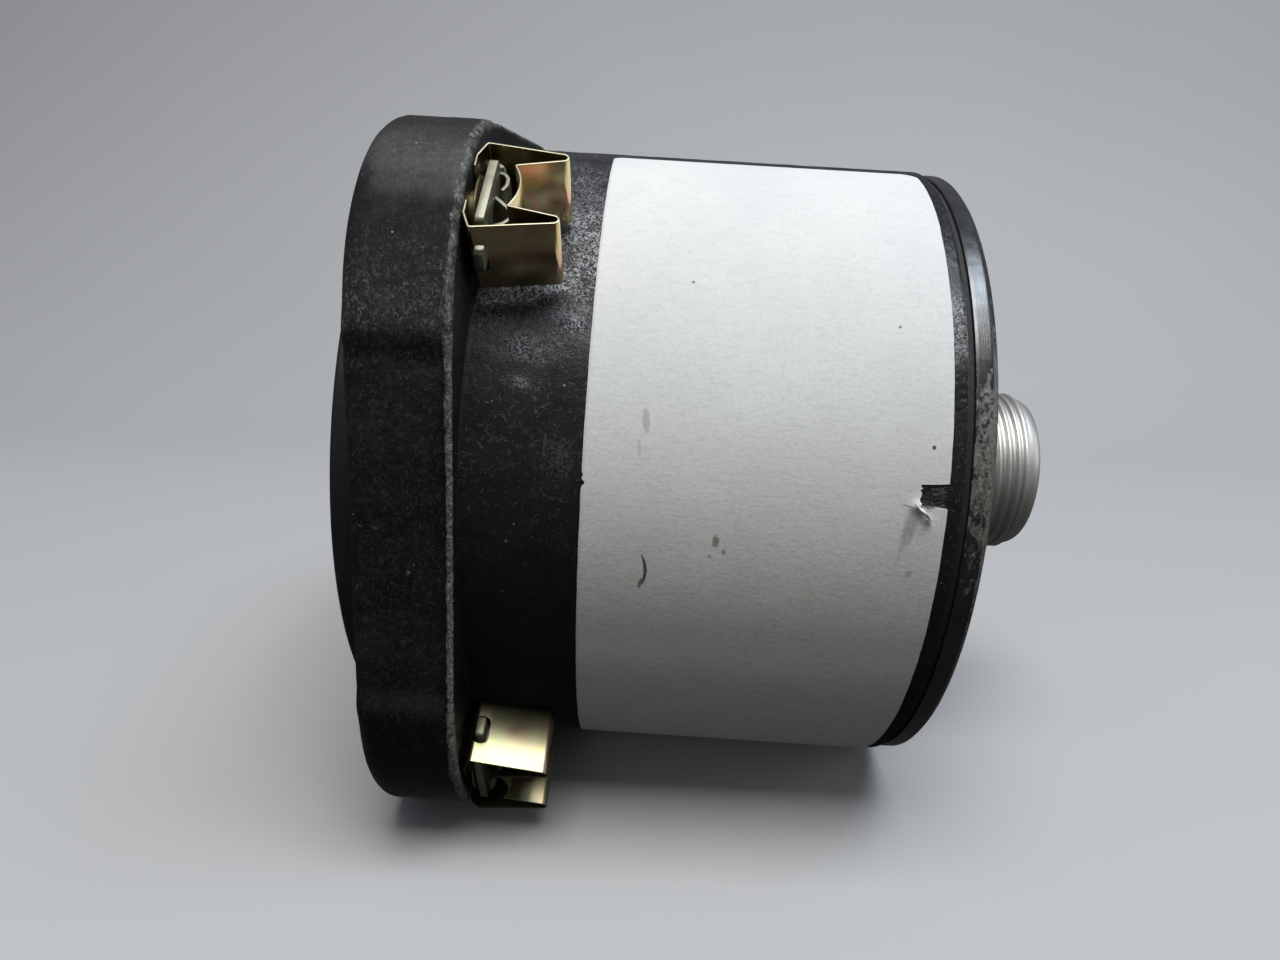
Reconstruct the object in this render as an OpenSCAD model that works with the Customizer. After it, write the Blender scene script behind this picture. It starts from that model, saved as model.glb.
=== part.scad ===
// Cylinder head temperature gauge, 3-1/8 inch panel instrument, rear-of-panel mounting.
// Moving-coil movement for a thermocouple, with a cold-junction compensator and a
// zero adjuster in the bezel, and a two-contact threaded receptacle at the back.
// Frame: millimetres. The instrument axis is Y. The dial faces -Y and the receptacle
// points to +Y. Z is up on the dial. The origin is on the axis, in the plane of the
// flange's front face, which bears on the back of the instrument panel.

/* [Flange] */
// Side of the square mounting flange
flange_side = 82.55; // [82.3:0.05:82.8]
// Thickness of the flange along the axis
flange_t = 11.0; // [10.9:0.05:11.0]
// Radius of the flange's corners
corner_r = 20.7; // [20.2:0.1:21.4]
// How far the middle of each side is set back
side_relief = 0.9; // [0.5:0.1:1.1]
// Half the length of each set-back middle
relief_half = 18.5; // [17:0.5:19]
// Thickness of the lip left behind each set-back middle
lip_t = 0.9; // [0.7:0.1:1.3]
// Circle of the four panel screws
screw_pcd = 88.9; // [88.7:0.05:89.1]

/* [Case] */
// Outer radius of the barrel
barrel_r = 39.6; // [39.5:0.05:39.7]
// Inside radius of the barrel
bore_r = 36.6; // [36.5:0.1:37.0]
// Axial position of the barrel's rear end
case_end = 61.9; // [61.7:0.1:61.9]
// Outer radius of the rear cover
cover_r = 39.24; // [39.0:0.04:39.4]
// Thickness of the rear cover
cover_t = 2.6; // [2.2:0.1:2.6]
// Outer radius of the bezel ring, which enters the panel hole
bezel_r = 38.1; // [37.9:0.1:38.2]
// How far the bezel stands in front of the flange
bezel_h = 2.6; // [2.4:0.1:3.0]

/* [Label] */
// Front edge of the paper label
label_y0 = 23.55; // [22:0.05:26]
// Rear edge of the paper label
label_y1 = 60.35; // [58:0.05:61]
// Thickness of the paper label
label_t = 0.12; // [0.08:0.01:0.2]
// Angle of the label's upper edge, from the top of the case towards +X
label_start = 12; // [6:1:20]
// Angle of the label's lower edge, from the top of the case towards +X
label_end = 165; // [150:1:175]

/* [Nut clips] */
// Width of the spring strip of a nut cage
strip_w = 7.94; // [7.7:0.02:8.0]
// Thickness of the spring strip
strip_t = 0.38; // [0.3:0.02:0.4]
// How far each cage is turned about its eyelet, clockwise from the front
clip_turn = [-4.5, -16.5, 5, -3]; // [-17:0.5:9]
// How far cage 2 hangs outwards from its eyelet
clip2_out = 0.5; // [0.48:0.01:0.52]
// How far cage 2 hangs to the side of its eyelet
clip2_side = 0.72; // [0.66:0.01:0.72]
// Thickness of a nut plate
nut_t = 0.93; // [0.85:0.01:0.95]
// How far nut plate 1 lies askew in its cage
nut_tilt = 2.5; // [0:0.5:2.5]

/* [Movement] */
// Pointer angle at rest, clockwise from the top of the dial
pointer_rest = -52; // [-54:1:-50]
// Length of the pointer from the staff to its tip
pointer_len = 27.0; // [25:0.5:27.5]
// Radius of the soft-iron core
core_r = 7.2; // [7.0:0.1:7.3]
// Radius of the pole-piece bore
pole_r = 9.4; // [9.3:0.1:9.6]
// Throw of the zero adjuster's crank
crank_e = 4.0; // [3.9:0.1:4.1]
// Distance of the zero adjuster from the axis
adj_r = 35.0; // [34.9:0.05:35.0]

/* [Receptacle] */
// Radius over the thread of the receptacle's shell
shell_r = 11.11; // [11.0:0.01:11.2]
// Axial position of the shell's open end
shell_end = 82.2; // [81.8:0.1:82.6]
// Distance of each contact from the axis
contact_x = 3.6; // [3.2:0.1:4.0]

/* [Hidden] */
FN = 96;
half = flange_side / 2;
rho = screw_pcd / 2;
cover_y = case_end + 0.7;
cover_b = cover_y + cover_t;
rear_y = flange_t;
P_POLE = 15;      // outer radius of the pole pieces
Y_POLE0 = 20;     // front face of the poles and magnet
Y_POLE1 = 34;     // rear face of the poles and magnet

// ---------- helpers ----------
// a 2-D shape drawn in x and z, carried from y0 to y0 + h
module xz(y0, h) { translate([0, y0 + h, 0]) rotate([90, 0, 0]) linear_extrude(h) children(); }
// a rod along the instrument axis
module rod(r, y0, y1, fn = 48) { translate([0, y0, 0]) rotate([-90, 0, 0]) cylinder(r = r, h = y1 - y0, $fn = fn); }
// a tapered rod along the instrument axis
module taper(r0, r1, y0, y1, fn = 48) { translate([0, y0, 0]) rotate([-90, 0, 0]) cylinder(r1 = r0, r2 = r1, h = y1 - y0, $fn = fn); }
// a turned ring: its section is drawn as [radius, y]
module turned(pts, fn = FN) { rotate([-90, 0, 0]) rotate_extrude($fn = fn) polygon(pts); }
// a washer-shaped ring
module ring(r0, r1, y0, y1, fn = FN) { difference() { rod(r1, y0, y1, fn); rod(r0, y0 - 1, y1 + 1, fn); } }
// children at radius r and clock angle a, measured clockwise from the top of the dial
module at(r, a) { translate([r * sin(a), 0, r * cos(a)]) children(); }
module boxy(x0, x1, y0, y1, z0, z1) { translate([x0, y0, z0]) cube([x1 - x0, y1 - y0, z1 - z0]); }

// a strip of thickness t along the points p, mitred at each bend
function unit(v) = v / norm(v);
function seg(p, i) = unit(p[min(i + 1, len(p) - 1)] - p[min(i, len(p) - 2)]);
function nrm(d) = [-d[1], d[0]];
function side_pt(p, i, h) =
  let(a = i == 0 ? seg(p, 0) : seg(p, i - 1), b = i == len(p) - 1 ? seg(p, len(p) - 2) : seg(p, i),
      n = unit(nrm(a) + nrm(b)))
  p[i] + n * h / max(0.5, n * nrm(a));
module strip(p, t) {
  n = len(p);
  polygon(concat([for (i = [0:n - 1]) side_pt(p, i, t / 2)], [for (i = [n - 1:-1:0]) side_pt(p, i, -t / 2)]));
}
function arc(c, r, a0, a1, n) = [for (i = [0:n]) c + r * [cos(a0 + (a1 - a0) * i / n), sin(a0 + (a1 - a0) * i / n)]];
function flip(p) = [for (i = [len(p) - 1:-1:0]) [-p[i][0], p[i][1]]];

// pan-head screw along +Y: head from y0 to y0 + hh, shank on to y1, slot in the head
module pan_screw(rh, hh, rs, y0, y1) {
  difference() {
    union() { rod(rh, y0, y0 + hh, 32); rod(rs, y0 + hh - 0.01, y1, 32); }
    boxy(-rh - 1, rh + 1, y0 - 1, y0 + hh * 0.45, -rh * 0.14, rh * 0.14);
  }
}
// the same screw driven in from the back
module back_screw(rh, hh, rs, y0, y1) { translate([0, y1, 0]) mirror([0, 1, 0]) pan_screw(rh, hh, rs, 0, y1 - y0); }

// ---------- case ----------
module flange_2d(h) {
  r = corner_r - (half - h);
  square([2 * h, 2 * (h - r)], center = true);
  square([2 * (h - r), 2 * h], center = true);
  for (sx = [-1, 1], sz = [-1, 1]) translate([sx * (h - r), sz * (h - r)]) circle(r = r, $fn = FN);
}
module case_body() {
  color([0.10, 0.10, 0.11])
  difference() {
    union() {
      difference() {
        union() {
          difference() {
            xz(0, flange_t) flange_2d(half);
            for (a = [0:90:270]) rotate([0, a, 0])
              boxy(-relief_half, relief_half, -1, flange_t - lip_t, half - side_relief, half + 1);
          }
          rod(barrel_r, flange_t - 0.5, case_end, FN);
        }
        rod(36.4, -1, 11.8, FN);
        // rebate for the bezel's rear lip
        rod(bezel_r + 0.55, -1, 0.4, FN);
        rod(bore_r, 14, case_end + 1, FN);
        rod(33, 11, 15, FN);
      }
      for (a = [45:90:315]) at(33.4, a) rod(4.2, 47, case_end, 32);
    }
    boxy(-7, 7, 11.8, 14.5, -35.6, -28);
    at(adj_r, 180) rod(1.35, 11.8, 14.5, 32);
    for (a = [0, 120, 240]) at(34.7, a) rod(0.9, 11, 13.6, 32);
    for (a = [45:90:315]) at(33.4, a) rod(1.1, 52, case_end + 1, 32);
    for (a = [45:90:315]) at(rho, a) rod(2.3, -1, flange_t + 1, 32);
  }
}
module bezel_ring() {
  color([0.07, 0.07, 0.075])
  difference() {
    turned([[33.0, -bezel_h], [bezel_r - 0.4, -bezel_h], [bezel_r, -bezel_h + 0.4], [bezel_r, 0],
            [bezel_r + 0.5, 0], [bezel_r + 0.5, 0.4], [36.38, 0.4], [36.38, 1], [31.2, 1], [31.2, -0.6]]);
    at(adj_r, 180) rod(0.86, -5, 2, 32);
    at(adj_r, 180) rod(1.4, -5, -1.3, 32);
  }
}
module cover_glass() { color([0.85, 0.92, 0.92, 0.35]) rod(33.4, 1, 3.2, FN); }
module glass_gasket() { color([0.05, 0.05, 0.05]) ring(31.9, 33.4, 3.2, 3.6); }
module reflector_ring() {
  color([0.06, 0.06, 0.06])
  difference() {
    turned([[33.5, 1], [36.35, 1], [36.35, 9], [33.0, 9], [31.6, 3.6], [33.5, 3.6]]);
    at(adj_r, 180) rod(0.95, 0, 10, 32);
  }
}

// ---------- dial ----------
module dial_plate() {
  color([0.05, 0.05, 0.055])
  difference() {
    rod(36.3, 9, 9.8, FN);
    rod(3.0, 8, 11, 32);
    at(adj_r, 180) rod(0.95, 8, 11, 32);
    for (a = [125, 235]) at(27, a) rod(0.8, 8, 11, 32);
    for (s = [-1, 1]) at(23, s * 62.5) rod(0.5, 8, 11, 32);
  }
}
module dial_screws() { color([0.12, 0.12, 0.12]) for (a = [125, 235]) at(27, a) pan_screw(1.5, 0.7, 0.8, 8.3, 11.6); }
module stop_pins() { color("silver") for (s = [-1, 1]) at(23, s * 62.5) rod(0.5, 6.0, 11.4, 32); }
module mounting_plate() {
  color([0.72, 0.72, 0.7])
  difference() {
    rod(36.3, 9.8, 11.8, FN);
    rod(17, 9, 13, 64);
    at(adj_r, 180) rod(0.86, 9, 13, 32);
    for (a = [125, 235]) at(27, a) rod(0.8, 9, 11.6, 32);
    for (s = [-1, 1]) at(23, s * 62.5) rod(0.5, 9, 11.4, 32);
    for (a = [0, 120, 240]) at(34.7, a) { rod(0.9, 9, 13, 32); taper(1.7, 0.9, 9.8, 10.6, 32); }
    for (a = [0, 120, 240]) at(29, a) rod(1.0, 9, 13, 32);
    for (a = [0, 120, 240]) at(29, a) rod(1.9, 9, 10.6, 32);
  }
}
module plate_screws() {
  color("silver") for (a = [0, 120, 240]) at(34.7, a) difference() {
    union() { taper(1.7, 0.9, 9.8, 10.6, 32); rod(0.9, 10.6, 13.6, 32); }
    boxy(-3, 3, 9, 10.15, -0.2, 0.2);
  }
}
module pillars() {
  color([0.78, 0.63, 0.32]) for (a = [0, 120, 240]) at(29, a) difference() { rod(2.2, 11.8, Y_POLE1, 32); rod(1.0, 11, 16, 32); rod(1.0, 30, 35, 32); }
}
module pillar_screws() {
  color("silver") for (a = [0, 120, 240]) at(29, a) {
    pan_screw(1.85, 0.75, 1.0, 9.85, 15.6);
    back_screw(1.9, 1.2, 1.0, 30.2, 37.2);
  }
}

// ---------- movement, fixed ----------
module sector(r, a0, a1) { polygon(concat([[0, 0]], [for (i = [0:8]) let(a = a0 + (a1 - a0) * i / 8) r * [cos(a), sin(a)]])); }
module movement_frame() {
  color([0.78, 0.63, 0.32])
  difference() {
    union() {
      rod(19.5, Y_POLE1, 36, 64);
      for (a = [0, 120, 240]) rotate([0, a, 0]) boxy(-4.0, 4.0, Y_POLE1, 36, 0, 29);
      for (a = [0, 120, 240]) at(29, a) rod(4.2, Y_POLE1, 36, 32);
    }
    rod(10, 33, 37, 48);
    for (a = [0, 120, 240]) at(29, a) rod(1.0, 33, 37, 32);
    for (s = [-1, 1]) translate([s * 12.2, 0, 0]) rod(1.2, 33, 37, 32);
    for (a = [60, 180, 300]) at(16.5, a) rod(0.9, 33, 37, 32);
  }
}
module frame_screws() { color("silver") for (s = [-1, 1]) translate([s * 12.2, 0, 0]) back_screw(2.1, 1.3, 1.2, 29.4, 37.3); }
module magnet() {
  color([0.35, 0.35, 0.37])
  difference() {
    rod(26, Y_POLE0, Y_POLE1, FN);
    rod(P_POLE, Y_POLE0 - 1, Y_POLE1 + 1, FN);
    xz(Y_POLE0 - 1, Y_POLE1 - Y_POLE0 + 2) sector(45, 66, 114);
  }
}
module pole_pieces() {
  color([0.6, 0.6, 0.6])
  for (s = [0, 180]) rotate([0, s, 0]) difference() {
    intersection() {
      difference() { rod(P_POLE, Y_POLE0, Y_POLE1, FN); rod(pole_r, Y_POLE0 - 1, Y_POLE1 + 1, 64); }
      xz(Y_POLE0 - 1, Y_POLE1 - Y_POLE0 + 2) sector(45, -62, 62);
    }
    translate([12.2, 0, 0]) rod(1.2, 29.4, 35, 32);
    translate([12.2, 0, 0]) rod(1.0, 19, 24.6, 32);
  }
}
module iron_core() {
  color([0.55, 0.55, 0.55])
  difference() {
    rod(core_r, 21.2, 32.8, 64);
    for (s = [-1, 1]) scale([1, 1, 1]) boxy(-1.8, 1.8, 25, 32, s > 0 ? 6.4 : -9, s > 0 ? 9 : -6.4);
  }
}
module core_supports() {
  color([0.78, 0.63, 0.32])
  for (s = [0, 180]) rotate([0, s, 0]) union() {
    boxy(-1.8, 1.8, 25, 32, 6.4, 14.2);
    boxy(-1.8, 1.8, 31.9, Y_POLE1, 10.4, 14.2);
  }
}
module front_bridge() {
  color([0.78, 0.63, 0.32])
  difference() {
    union() {
      xz(15, 1.8) { square([24.4, 8], center = true); for (s = [-1, 1]) translate([s * 12.2, 0]) circle(r = 4, $fn = 32); }
      rod(3.2, 13.2, 15.1, 48);
      for (s = [-1, 1]) translate([s * 12.2, 0, 0]) rod(2.2, 16.7, Y_POLE0, 32);
    }
    rod(1.3, 12, 18, 32);
    for (s = [-1, 1]) translate([s * 12.2, 0, 0]) rod(1.0, 14, 21, 32);
  }
}
module front_bridge_screws() { color("silver") for (s = [-1, 1]) translate([s * 12.2, 0, 0]) pan_screw(1.9, 1.2, 1.0, 13.8, 24.6); }
module front_jewel() { color([0.75, 0.1, 0.25]) ring(0.5, 1.3, 13.6, 16.6, 32); }
module rear_bridge() {
  color([0.78, 0.63, 0.32])
  difference() {
    union() {
      xz(38.4, 1.6) { square([34, 8], center = true); for (s = [-1, 1]) translate([s * 17, 0]) circle(r = 4, $fn = 32); }
      for (s = [-1, 1]) translate([s * 17, 0, 0]) rod(2.4, 36, 38.5, 32);
      // stud that holds the rear spring's outer end
      translate([7.3, 0, 0]) rod(0.6, 35.4, 38.5, 32);
    }
    rod(1.5, 37, 41, 32);
    for (s = [-1, 1]) translate([s * 17, 0, 0]) rod(1.0, 35, 41, 32);
  }
}
module rear_bridge_screws() { color("silver") for (s = [-1, 1]) translate([s * 17, 0, 0]) back_screw(2.0, 1.2, 1.0, 36, 41.2); }
module rear_jewel_screw() {
  color([0.8, 0.68, 0.4])
  difference() { rod(1.5, 37.4, 42.4, 32); rod(0.35, 37, 38.6, 32); boxy(-2, 2, 41.8, 43, -0.25, 0.25); }
}
module jewel_lock_nut() { color([0.8, 0.68, 0.4]) difference() { rod(3.0, 40, 41.4, 6); rod(1.5, 39, 42, 32); } }

// a flat spiral spring about the axis, from r0 to r1 in n turns, ending at clock angle a1
module spiral(r0, r1, n, a1, y0, y1, w = 0.14) {
  N = n * 28;
  p = [for (i = [0:N]) let(u = i / N, a = a1 - n * 360 * (1 - u), r = r0 + (r1 - r0) * u) r * [sin(a), cos(a)]];
  xz(y0, y1 - y0) strip(p, w);
}
module rear_spring() { color([0.72, 0.55, 0.25]) { spiral(1.75, 6.9, 4, 90, 35.6, 36.2); } }

// ---------- movement, moving with the pointer ----------
module turn_rest() { rotate([0, pointer_rest, 0]) children(); }
module front_staff() {
  color("silver") union() { rod(0.45, 5.9, 18.1, 32); rod(1.1, 17.0, 18.15, 32); rod(2.0, 18.1, 18.95, 32); rod(1.1, 12.3, 12.8, 32); }
}
module rear_staff() {
  color("silver") union() { rod(2.0, 35.0, 35.4, 32); rod(1.1, 35.35, 36.4, 32); rod(0.45, 36.35, 37.3, 32); rod(0.3, 37.25, 38.5, 32); }
}
module coil_former() {
  color([0.75, 0.75, 0.77]) turn_rest() difference() { boxy(-8.3, 8.3, 19.4, 34.6, -2.2, 2.2); boxy(-7.7, 7.7, 20, 34, -3, 3); }
}
module coil_winding() {
  color([0.72, 0.38, 0.2]) turn_rest() difference() { boxy(-8.7, 8.7, 18.95, 35, -1.7, 1.7); boxy(-8.3, 8.3, 19.4, 34.6, -3, 3); }
}
module pointer() {
  color([0.92, 0.92, 0.88]) turn_rest() difference() {
    union() {
      xz(6.6, 0.4) polygon([[-0.55, 0], [-0.85, 8], [-0.75, pointer_len - 4], [0, pointer_len], [0.75, pointer_len - 4], [0.85, 8], [0.55, 0], [0.5, -7], [-0.5, -7]]);
      translate([0, 0, -8.6]) rod(2.25, 6.6, 7.9, 32);
      rod(1.7, 6.3, 8.3, 32);
    }
    rod(0.45, 5, 9, 32);
  }
}

// ---------- zero adjuster ----------
module zero_adjust_screw() {
  color("silver") at(adj_r, 180) difference() {
    union() { rod(1.3, -2.4, -1.35, 32); rod(0.8, -1.4, 12.0, 32); }
    boxy(-2, 2, -3, -1.9, -0.22, 0.22);
  }
}
module adjuster_crank() {
  color([0.78, 0.63, 0.32]) at(adj_r, 180) difference() {
    union() {
      rod(1.25, 12.0, 13.0, 32);
      boxy(-0.7, 0.7, 12.0, 13.0, 0, crank_e);
      translate([0, 0, crank_e]) rod(0.7, 12.0, 14.6, 32);
    }
  }
}
module regulator_arm() {
  tip = adj_r - crank_e;
  color([0.78, 0.63, 0.32]) difference() {
    union() {
      rod(5.2, 13.4, 14.2, 48);
      boxy(-1.2, 1.2, 13.4, 14.2, -tip + 1.5, -4);
      boxy(-2.2, 2.2, 13.4, 14.2, -tip - 2.0, -tip + 2.2);
    }
    rod(3.25, 12, 16, 48);
    // open fork for the crank pin
    boxy(-0.9, 0.9, 12, 16, -tip - 3, -tip + 1.2);
    // rivet hole of the bimetal strip
    translate([0, 0, -22]) rod(0.6, 12, 16, 32);
  }
}
module compensating_bimetal() {
  color([0.62, 0.55, 0.45]) union() {
    boxy(-1.0, 1.0, 14.2, 14.6, -23.4, -6.7);
    translate([0, 0, -22]) rod(0.6, 13.4, 14.3, 32);
    translate([0, 0, -7.3]) rod(0.6, 14.2, 18.0, 32);
  }
}
module front_spring() { color([0.72, 0.55, 0.25]) spiral(1.75, 6.9, 4, 180, 17.25, 17.85); }

// ---------- electrical parts ----------
module terminal_board() {
  color([0.45, 0.25, 0.12]) difference() {
    rod(22, 44, 45.6, 64);
    for (a = [60, 180, 300]) at(16.5, a) rod(0.9, 43, 47, 32);
    for (x = [-9, -3, 3, 9]) translate([x, 0, 13.5]) rod(0.7, 43, 47, 32);
    for (s = [-1, 1]) translate([s * 9, 0, -3]) rod(1.2, 43, 47, 32);
  }
}
module board_posts() {
  color("silver") for (a = [60, 180, 300]) at(16.5, a) union() { rod(0.9, 34.4, 46.6, 32); rod(2.0, 36, 44, 32); rod(1.8, 45.6, 46.8, 6); }
}
module terminal_posts() { color([0.8, 0.75, 0.5]) for (x = [-9, -3, 3, 9]) translate([x, 0, 13.5]) union() { rod(0.7, 42.6, 48.4, 32); rod(1.5, 45.6, 46.3, 32); } }
module resistor_bobbins() {
  color([0.12, 0.12, 0.1]) for (s = [-1, 1]) translate([s * 9, 0, -3]) union() { rod(1.2, 43.4, 46, 32); rod(5.6, 45.6, 46.6, 48); rod(2.6, 46.5, 54.6, 32); rod(5.6, 54.5, 55.4, 48); }
}
module resistor_windings() {
  color([0.55, 0.35, 0.15]) for (s = [-1, 1]) translate([s * 9, 0, -3]) ring(2.6, 4.9, 46.6, 54.5, 48);
}
// a round wire along a smooth curve with four control points
function bez(p, u) = let(v = 1 - u) v * v * v * p[0] + 3 * v * v * u * p[1] + 3 * v * u * u * p[2] + u * u * u * p[3];
function bez_dir(p, u) = let(v = 1 - u) unit(v * v * (p[1] - p[0]) + 2 * v * u * (p[2] - p[1]) + u * u * (p[3] - p[2]));
module wire(p, r, rings = 18, sides = 10) {
  pts = [for (i = [0:rings]) let(c = bez(p, i / rings), d = bez_dir(p, i / rings), a = unit(cross(d, [1, 0, 0])), b = cross(d, a))
         for (k = [0:sides - 1]) c + r * (cos(360 * k / sides) * a + sin(360 * k / sides) * b)];
  polyhedron(points = pts, faces = concat([[for (k = [0:sides - 1]) k]],
    [for (i = [0:rings - 1], k = [0:sides - 1]) let(a = i * sides, b = a + sides, j = (k + 1) % sides) [a + k, b + k, b + j, a + j]],
    [[for (k = [sides - 1:-1:0]) rings * sides + k]]));
}
module lead_wires() {
  color([0.55, 0.08, 0.06]) for (s = [-1, 1])
    wire([[s * 9, 48.4, 13.5], [s * 9, 52.5, 13.5], [s * contact_x, 55.9, 0], [s * contact_x, 57.4, 0]], 0.7);
}

// ---------- rear cover and receptacle ----------
module rear_cover() {
  color([0.12, 0.12, 0.13])
  difference() {
    turned([[10.9, cover_y], [cover_r, cover_y], [cover_r, cover_b - 0.7], [cover_r - 0.7, cover_b], [10.9, cover_b]]);
    for (a = [45:90:315]) at(33.4, a) turned([[0, cover_y - 1], [1.4, cover_y - 1], [1.4, cover_b - 1.2], [2.7, cover_b + 0.1], [0, cover_b + 0.1]], 32);
    for (sx = [-1, 1], sz = [-1, 1]) translate([sx * 11.5, 0, sz * 11.5]) rod(1.2, cover_y - 1, cover_b + 1, 32);
  }
}
module cover_gasket() { color([0.03, 0.03, 0.03]) ring(37.2, 38.9, case_end, cover_y); }
// countersunk screws, just below the cover's rear face
module cover_screws() {
  h = cover_b - 0.05;
  color([0.3, 0.3, 0.3]) for (a = [45:90:315]) at(33.4, a) difference() {
    turned([[0, 53], [1.1, 53], [1.1, h - 1.4], [2.5, h], [0, h]], 32);
    boxy(-0.35, 0.35, h - 0.8, h + 1, -3, 3);
  }
}
module sq_plate(s, r, y0, h, rb) {
  difference() {
    xz(y0, h) { square([s, s - 2 * r], center = true); square([s - 2 * r, s], center = true);
      for (sx = [-1, 1], sz = [-1, 1]) translate([sx * (s / 2 - r), sz * (s / 2 - r)]) circle(r = r, $fn = 32); }
    rod(rb, y0 - 1, y0 + h + 1, 64);
    for (sx = [-1, 1], sz = [-1, 1]) translate([sx * 11.5, 0, sz * 11.5]) rod(1.3, y0 - 1, y0 + h + 1, 32);
  }
}
module connector_gasket() { color([0.1, 0.1, 0.1]) sq_plate(30.2, 3.5, cover_b, 0.4, 10.9); }
module connector_shell() {
  f = cover_b + 0.4;
  color([0.78, 0.77, 0.74])
  difference() {
    union() {
      sq_plate(30.2, 3.5, f, 2.4, 10.5);
      rod(10.6, 58.6, f + 1, 64);
      rod(shell_r, f + 1, shell_end - 2.0, FN);
      turned([[0, shell_end - 2.1], [10.5, shell_end - 2.1], [10.5, shell_end - 0.3], [10.2, shell_end], [0, shell_end]]);
    }
    rod(9.3, 57, shell_end + 1, 64);
  }
  // polarising key inside the top of the shell
  color([0.78, 0.77, 0.74]) boxy(-0.9, 0.9, 71.5, shell_end - 1, 8.3, 9.6);
}
module connector_insert() {
  color([0.16, 0.16, 0.15]) difference() {
    rod(9.3, 59.6, 70, 64);
    for (s = [-1, 1]) translate([s * contact_x, 0, 0]) rod(1.15, 58, 72, 32);
  }
}
module connector_pins() {
  // the shank in the insert is thicker than the free end, and ends in a shoulder at the insert's face
  color([0.8, 0.76, 0.6]) for (s = [-1, 1]) translate([s * contact_x, 0, 0])
    union() { rod(0.79, 69, 78.6, 32); rod(1.15, 59, 70, 32); rod(1.5, 57.4, 59.6, 32); taper(0.79, 0.4, 78.6, 79.2, 32); }
}
module connector_screws() {
  f = cover_b + 2.8;
  color("silver") for (sx = [-1, 1], sz = [-1, 1]) translate([sx * 11.5, 0, sz * 11.5]) back_screw(2.1, 1.6, 1.2, cover_y + 0.2, f + 1.6);
}

// ---------- label ----------
module paper_label() {
  color([0.9, 0.89, 0.86]) intersection() {
    ring(barrel_r, barrel_r + label_t, label_y0, label_y1);
    // the sheet goes from just beside the top to the lower side: one cut for each end
    rotate([0, label_end - 180, 0]) boxy(0, 50, label_y0 - 1, label_y1 + 1, -50, 50);
    rotate([0, label_start, 0]) boxy(0, 50, label_y0 - 1, label_y1 + 1, -50, 50);
  }
}

// ---------- nut clips ----------
module on_corner(k, share = 0) {
  a = 45 + 90 * (k - 1);
  out = k == 2 ? share * clip2_out : 0;
  side = k == 2 ? -share * clip2_side : 0;
  rotate([0, a, 0]) translate([side, 0, rho + out]) rotate([0, clip_turn[k - 1], 0]) children();
}
module clip_eyelets() {
  color([0.75, 0.66, 0.35]) for (k = [1:4]) at(rho, 45 + 90 * (k - 1))
    difference() { union() { rod(2.3, 0, flange_t + 0.75, 32); rod(3.8, flange_t + 0.7, flange_t + 0.95, 32); } rod(1.9, -1, flange_t + 2, 32); }
}
// centre line of the folded strip, as [across, y] from the flange's rear face
function clip_half() = concat(
  [[2.95, 4.25], [3.98, 8.75]],
  arc([4.5, 8.82], 0.5, 172, 8, 6),
  [[6.13, 1.22]], [[6.05, 1.0], [5.83, 0.9], [4.2, 0.25], [2.55, 0.25]]);
function clip_arc() = [for (i = [-5:5]) let(t = 2.95 * i / 6) [t, 5.1 - (0.85) * (t * t) / (2.95 * 2.95)]];
function clip_line() = concat(flip(clip_half()), clip_arc(), clip_half());
module nut_cage(k) {
  color([0.66, 0.57, 0.30]) on_corner(k, 1) difference() {
    translate([0, rear_y, -strip_w / 2]) linear_extrude(strip_w) strip(clip_line(), strip_t);
    for (s = [-1, 1]) translate([s * 6, 0, 0]) boxy(-1.2, 1.2, rear_y + 0.85, rear_y + 2.65, -1.7, 1.7);
    rod(3.25, rear_y - 1, rear_y + 0.6, 32);
    rod(1.9, rear_y + 3, rear_y + 7, 32);
  }
}
module nut_plate(k) {
  color([0.72, 0.66, 0.42]) on_corner(k, 0.4) translate([0, rear_y, 0]) rotate([0, 0, k == 1 ? nut_tilt : 0]) difference() {
    union() {
      boxy(-4.5, 4.5, 1.27, 1.27 + nut_t, -3.45, 3.45);
      boxy(-6.75, 6.75, 1.27, 1.27 + nut_t, -1.2, 1.2);
      translate([0, 0, -1.6]) linear_extrude(3.2) strip([[-4.2, 1.9], [-3.8, 2.7], [-2.9, 3.45], [-1.9, 3.75], [-1.3, 3.6]], 0.5);
      translate([0, 0, -1.6]) linear_extrude(3.2) strip([[4.2, 1.9], [3.8, 2.3], [2.9, 2.75], [2.0, 2.85], [1.3, 2.7]], 0.5);
    }
    rod(1.4, 0, 6, 32);
  }
}
module nut_cage_1() { nut_cage(1); }
module nut_cage_2() { nut_cage(2); }
module nut_cage_3() { nut_cage(3); }
module nut_cage_4() { nut_cage(4); }
module nut_plate_1() { nut_plate(1); }
module nut_plate_2() { nut_plate(2); }
module nut_plate_3() { nut_plate(3); }
module nut_plate_4() { nut_plate(4); }

case_body();
bezel_ring();
cover_glass();
glass_gasket();
reflector_ring();
dial_plate();
dial_screws();
stop_pins();
mounting_plate();
plate_screws();
pillars();
pillar_screws();
movement_frame();
frame_screws();
magnet();
pole_pieces();
iron_core();
core_supports();
front_bridge();
front_bridge_screws();
front_jewel();
rear_bridge();
rear_bridge_screws();
rear_jewel_screw();
jewel_lock_nut();
rear_spring();
front_staff();
rear_staff();
coil_former();
coil_winding();
pointer();
zero_adjust_screw();
adjuster_crank();
regulator_arm();
compensating_bimetal();
front_spring();
terminal_board();
board_posts();
terminal_posts();
resistor_bobbins();
resistor_windings();
lead_wires();
rear_cover();
cover_gasket();
cover_screws();
connector_shell();
connector_insert();
connector_pins();
connector_gasket();
connector_screws();
paper_label();
clip_eyelets();
nut_cage_1();
nut_cage_2();
nut_cage_3();
nut_cage_4();
nut_plate_1();
nut_plate_2();
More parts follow.
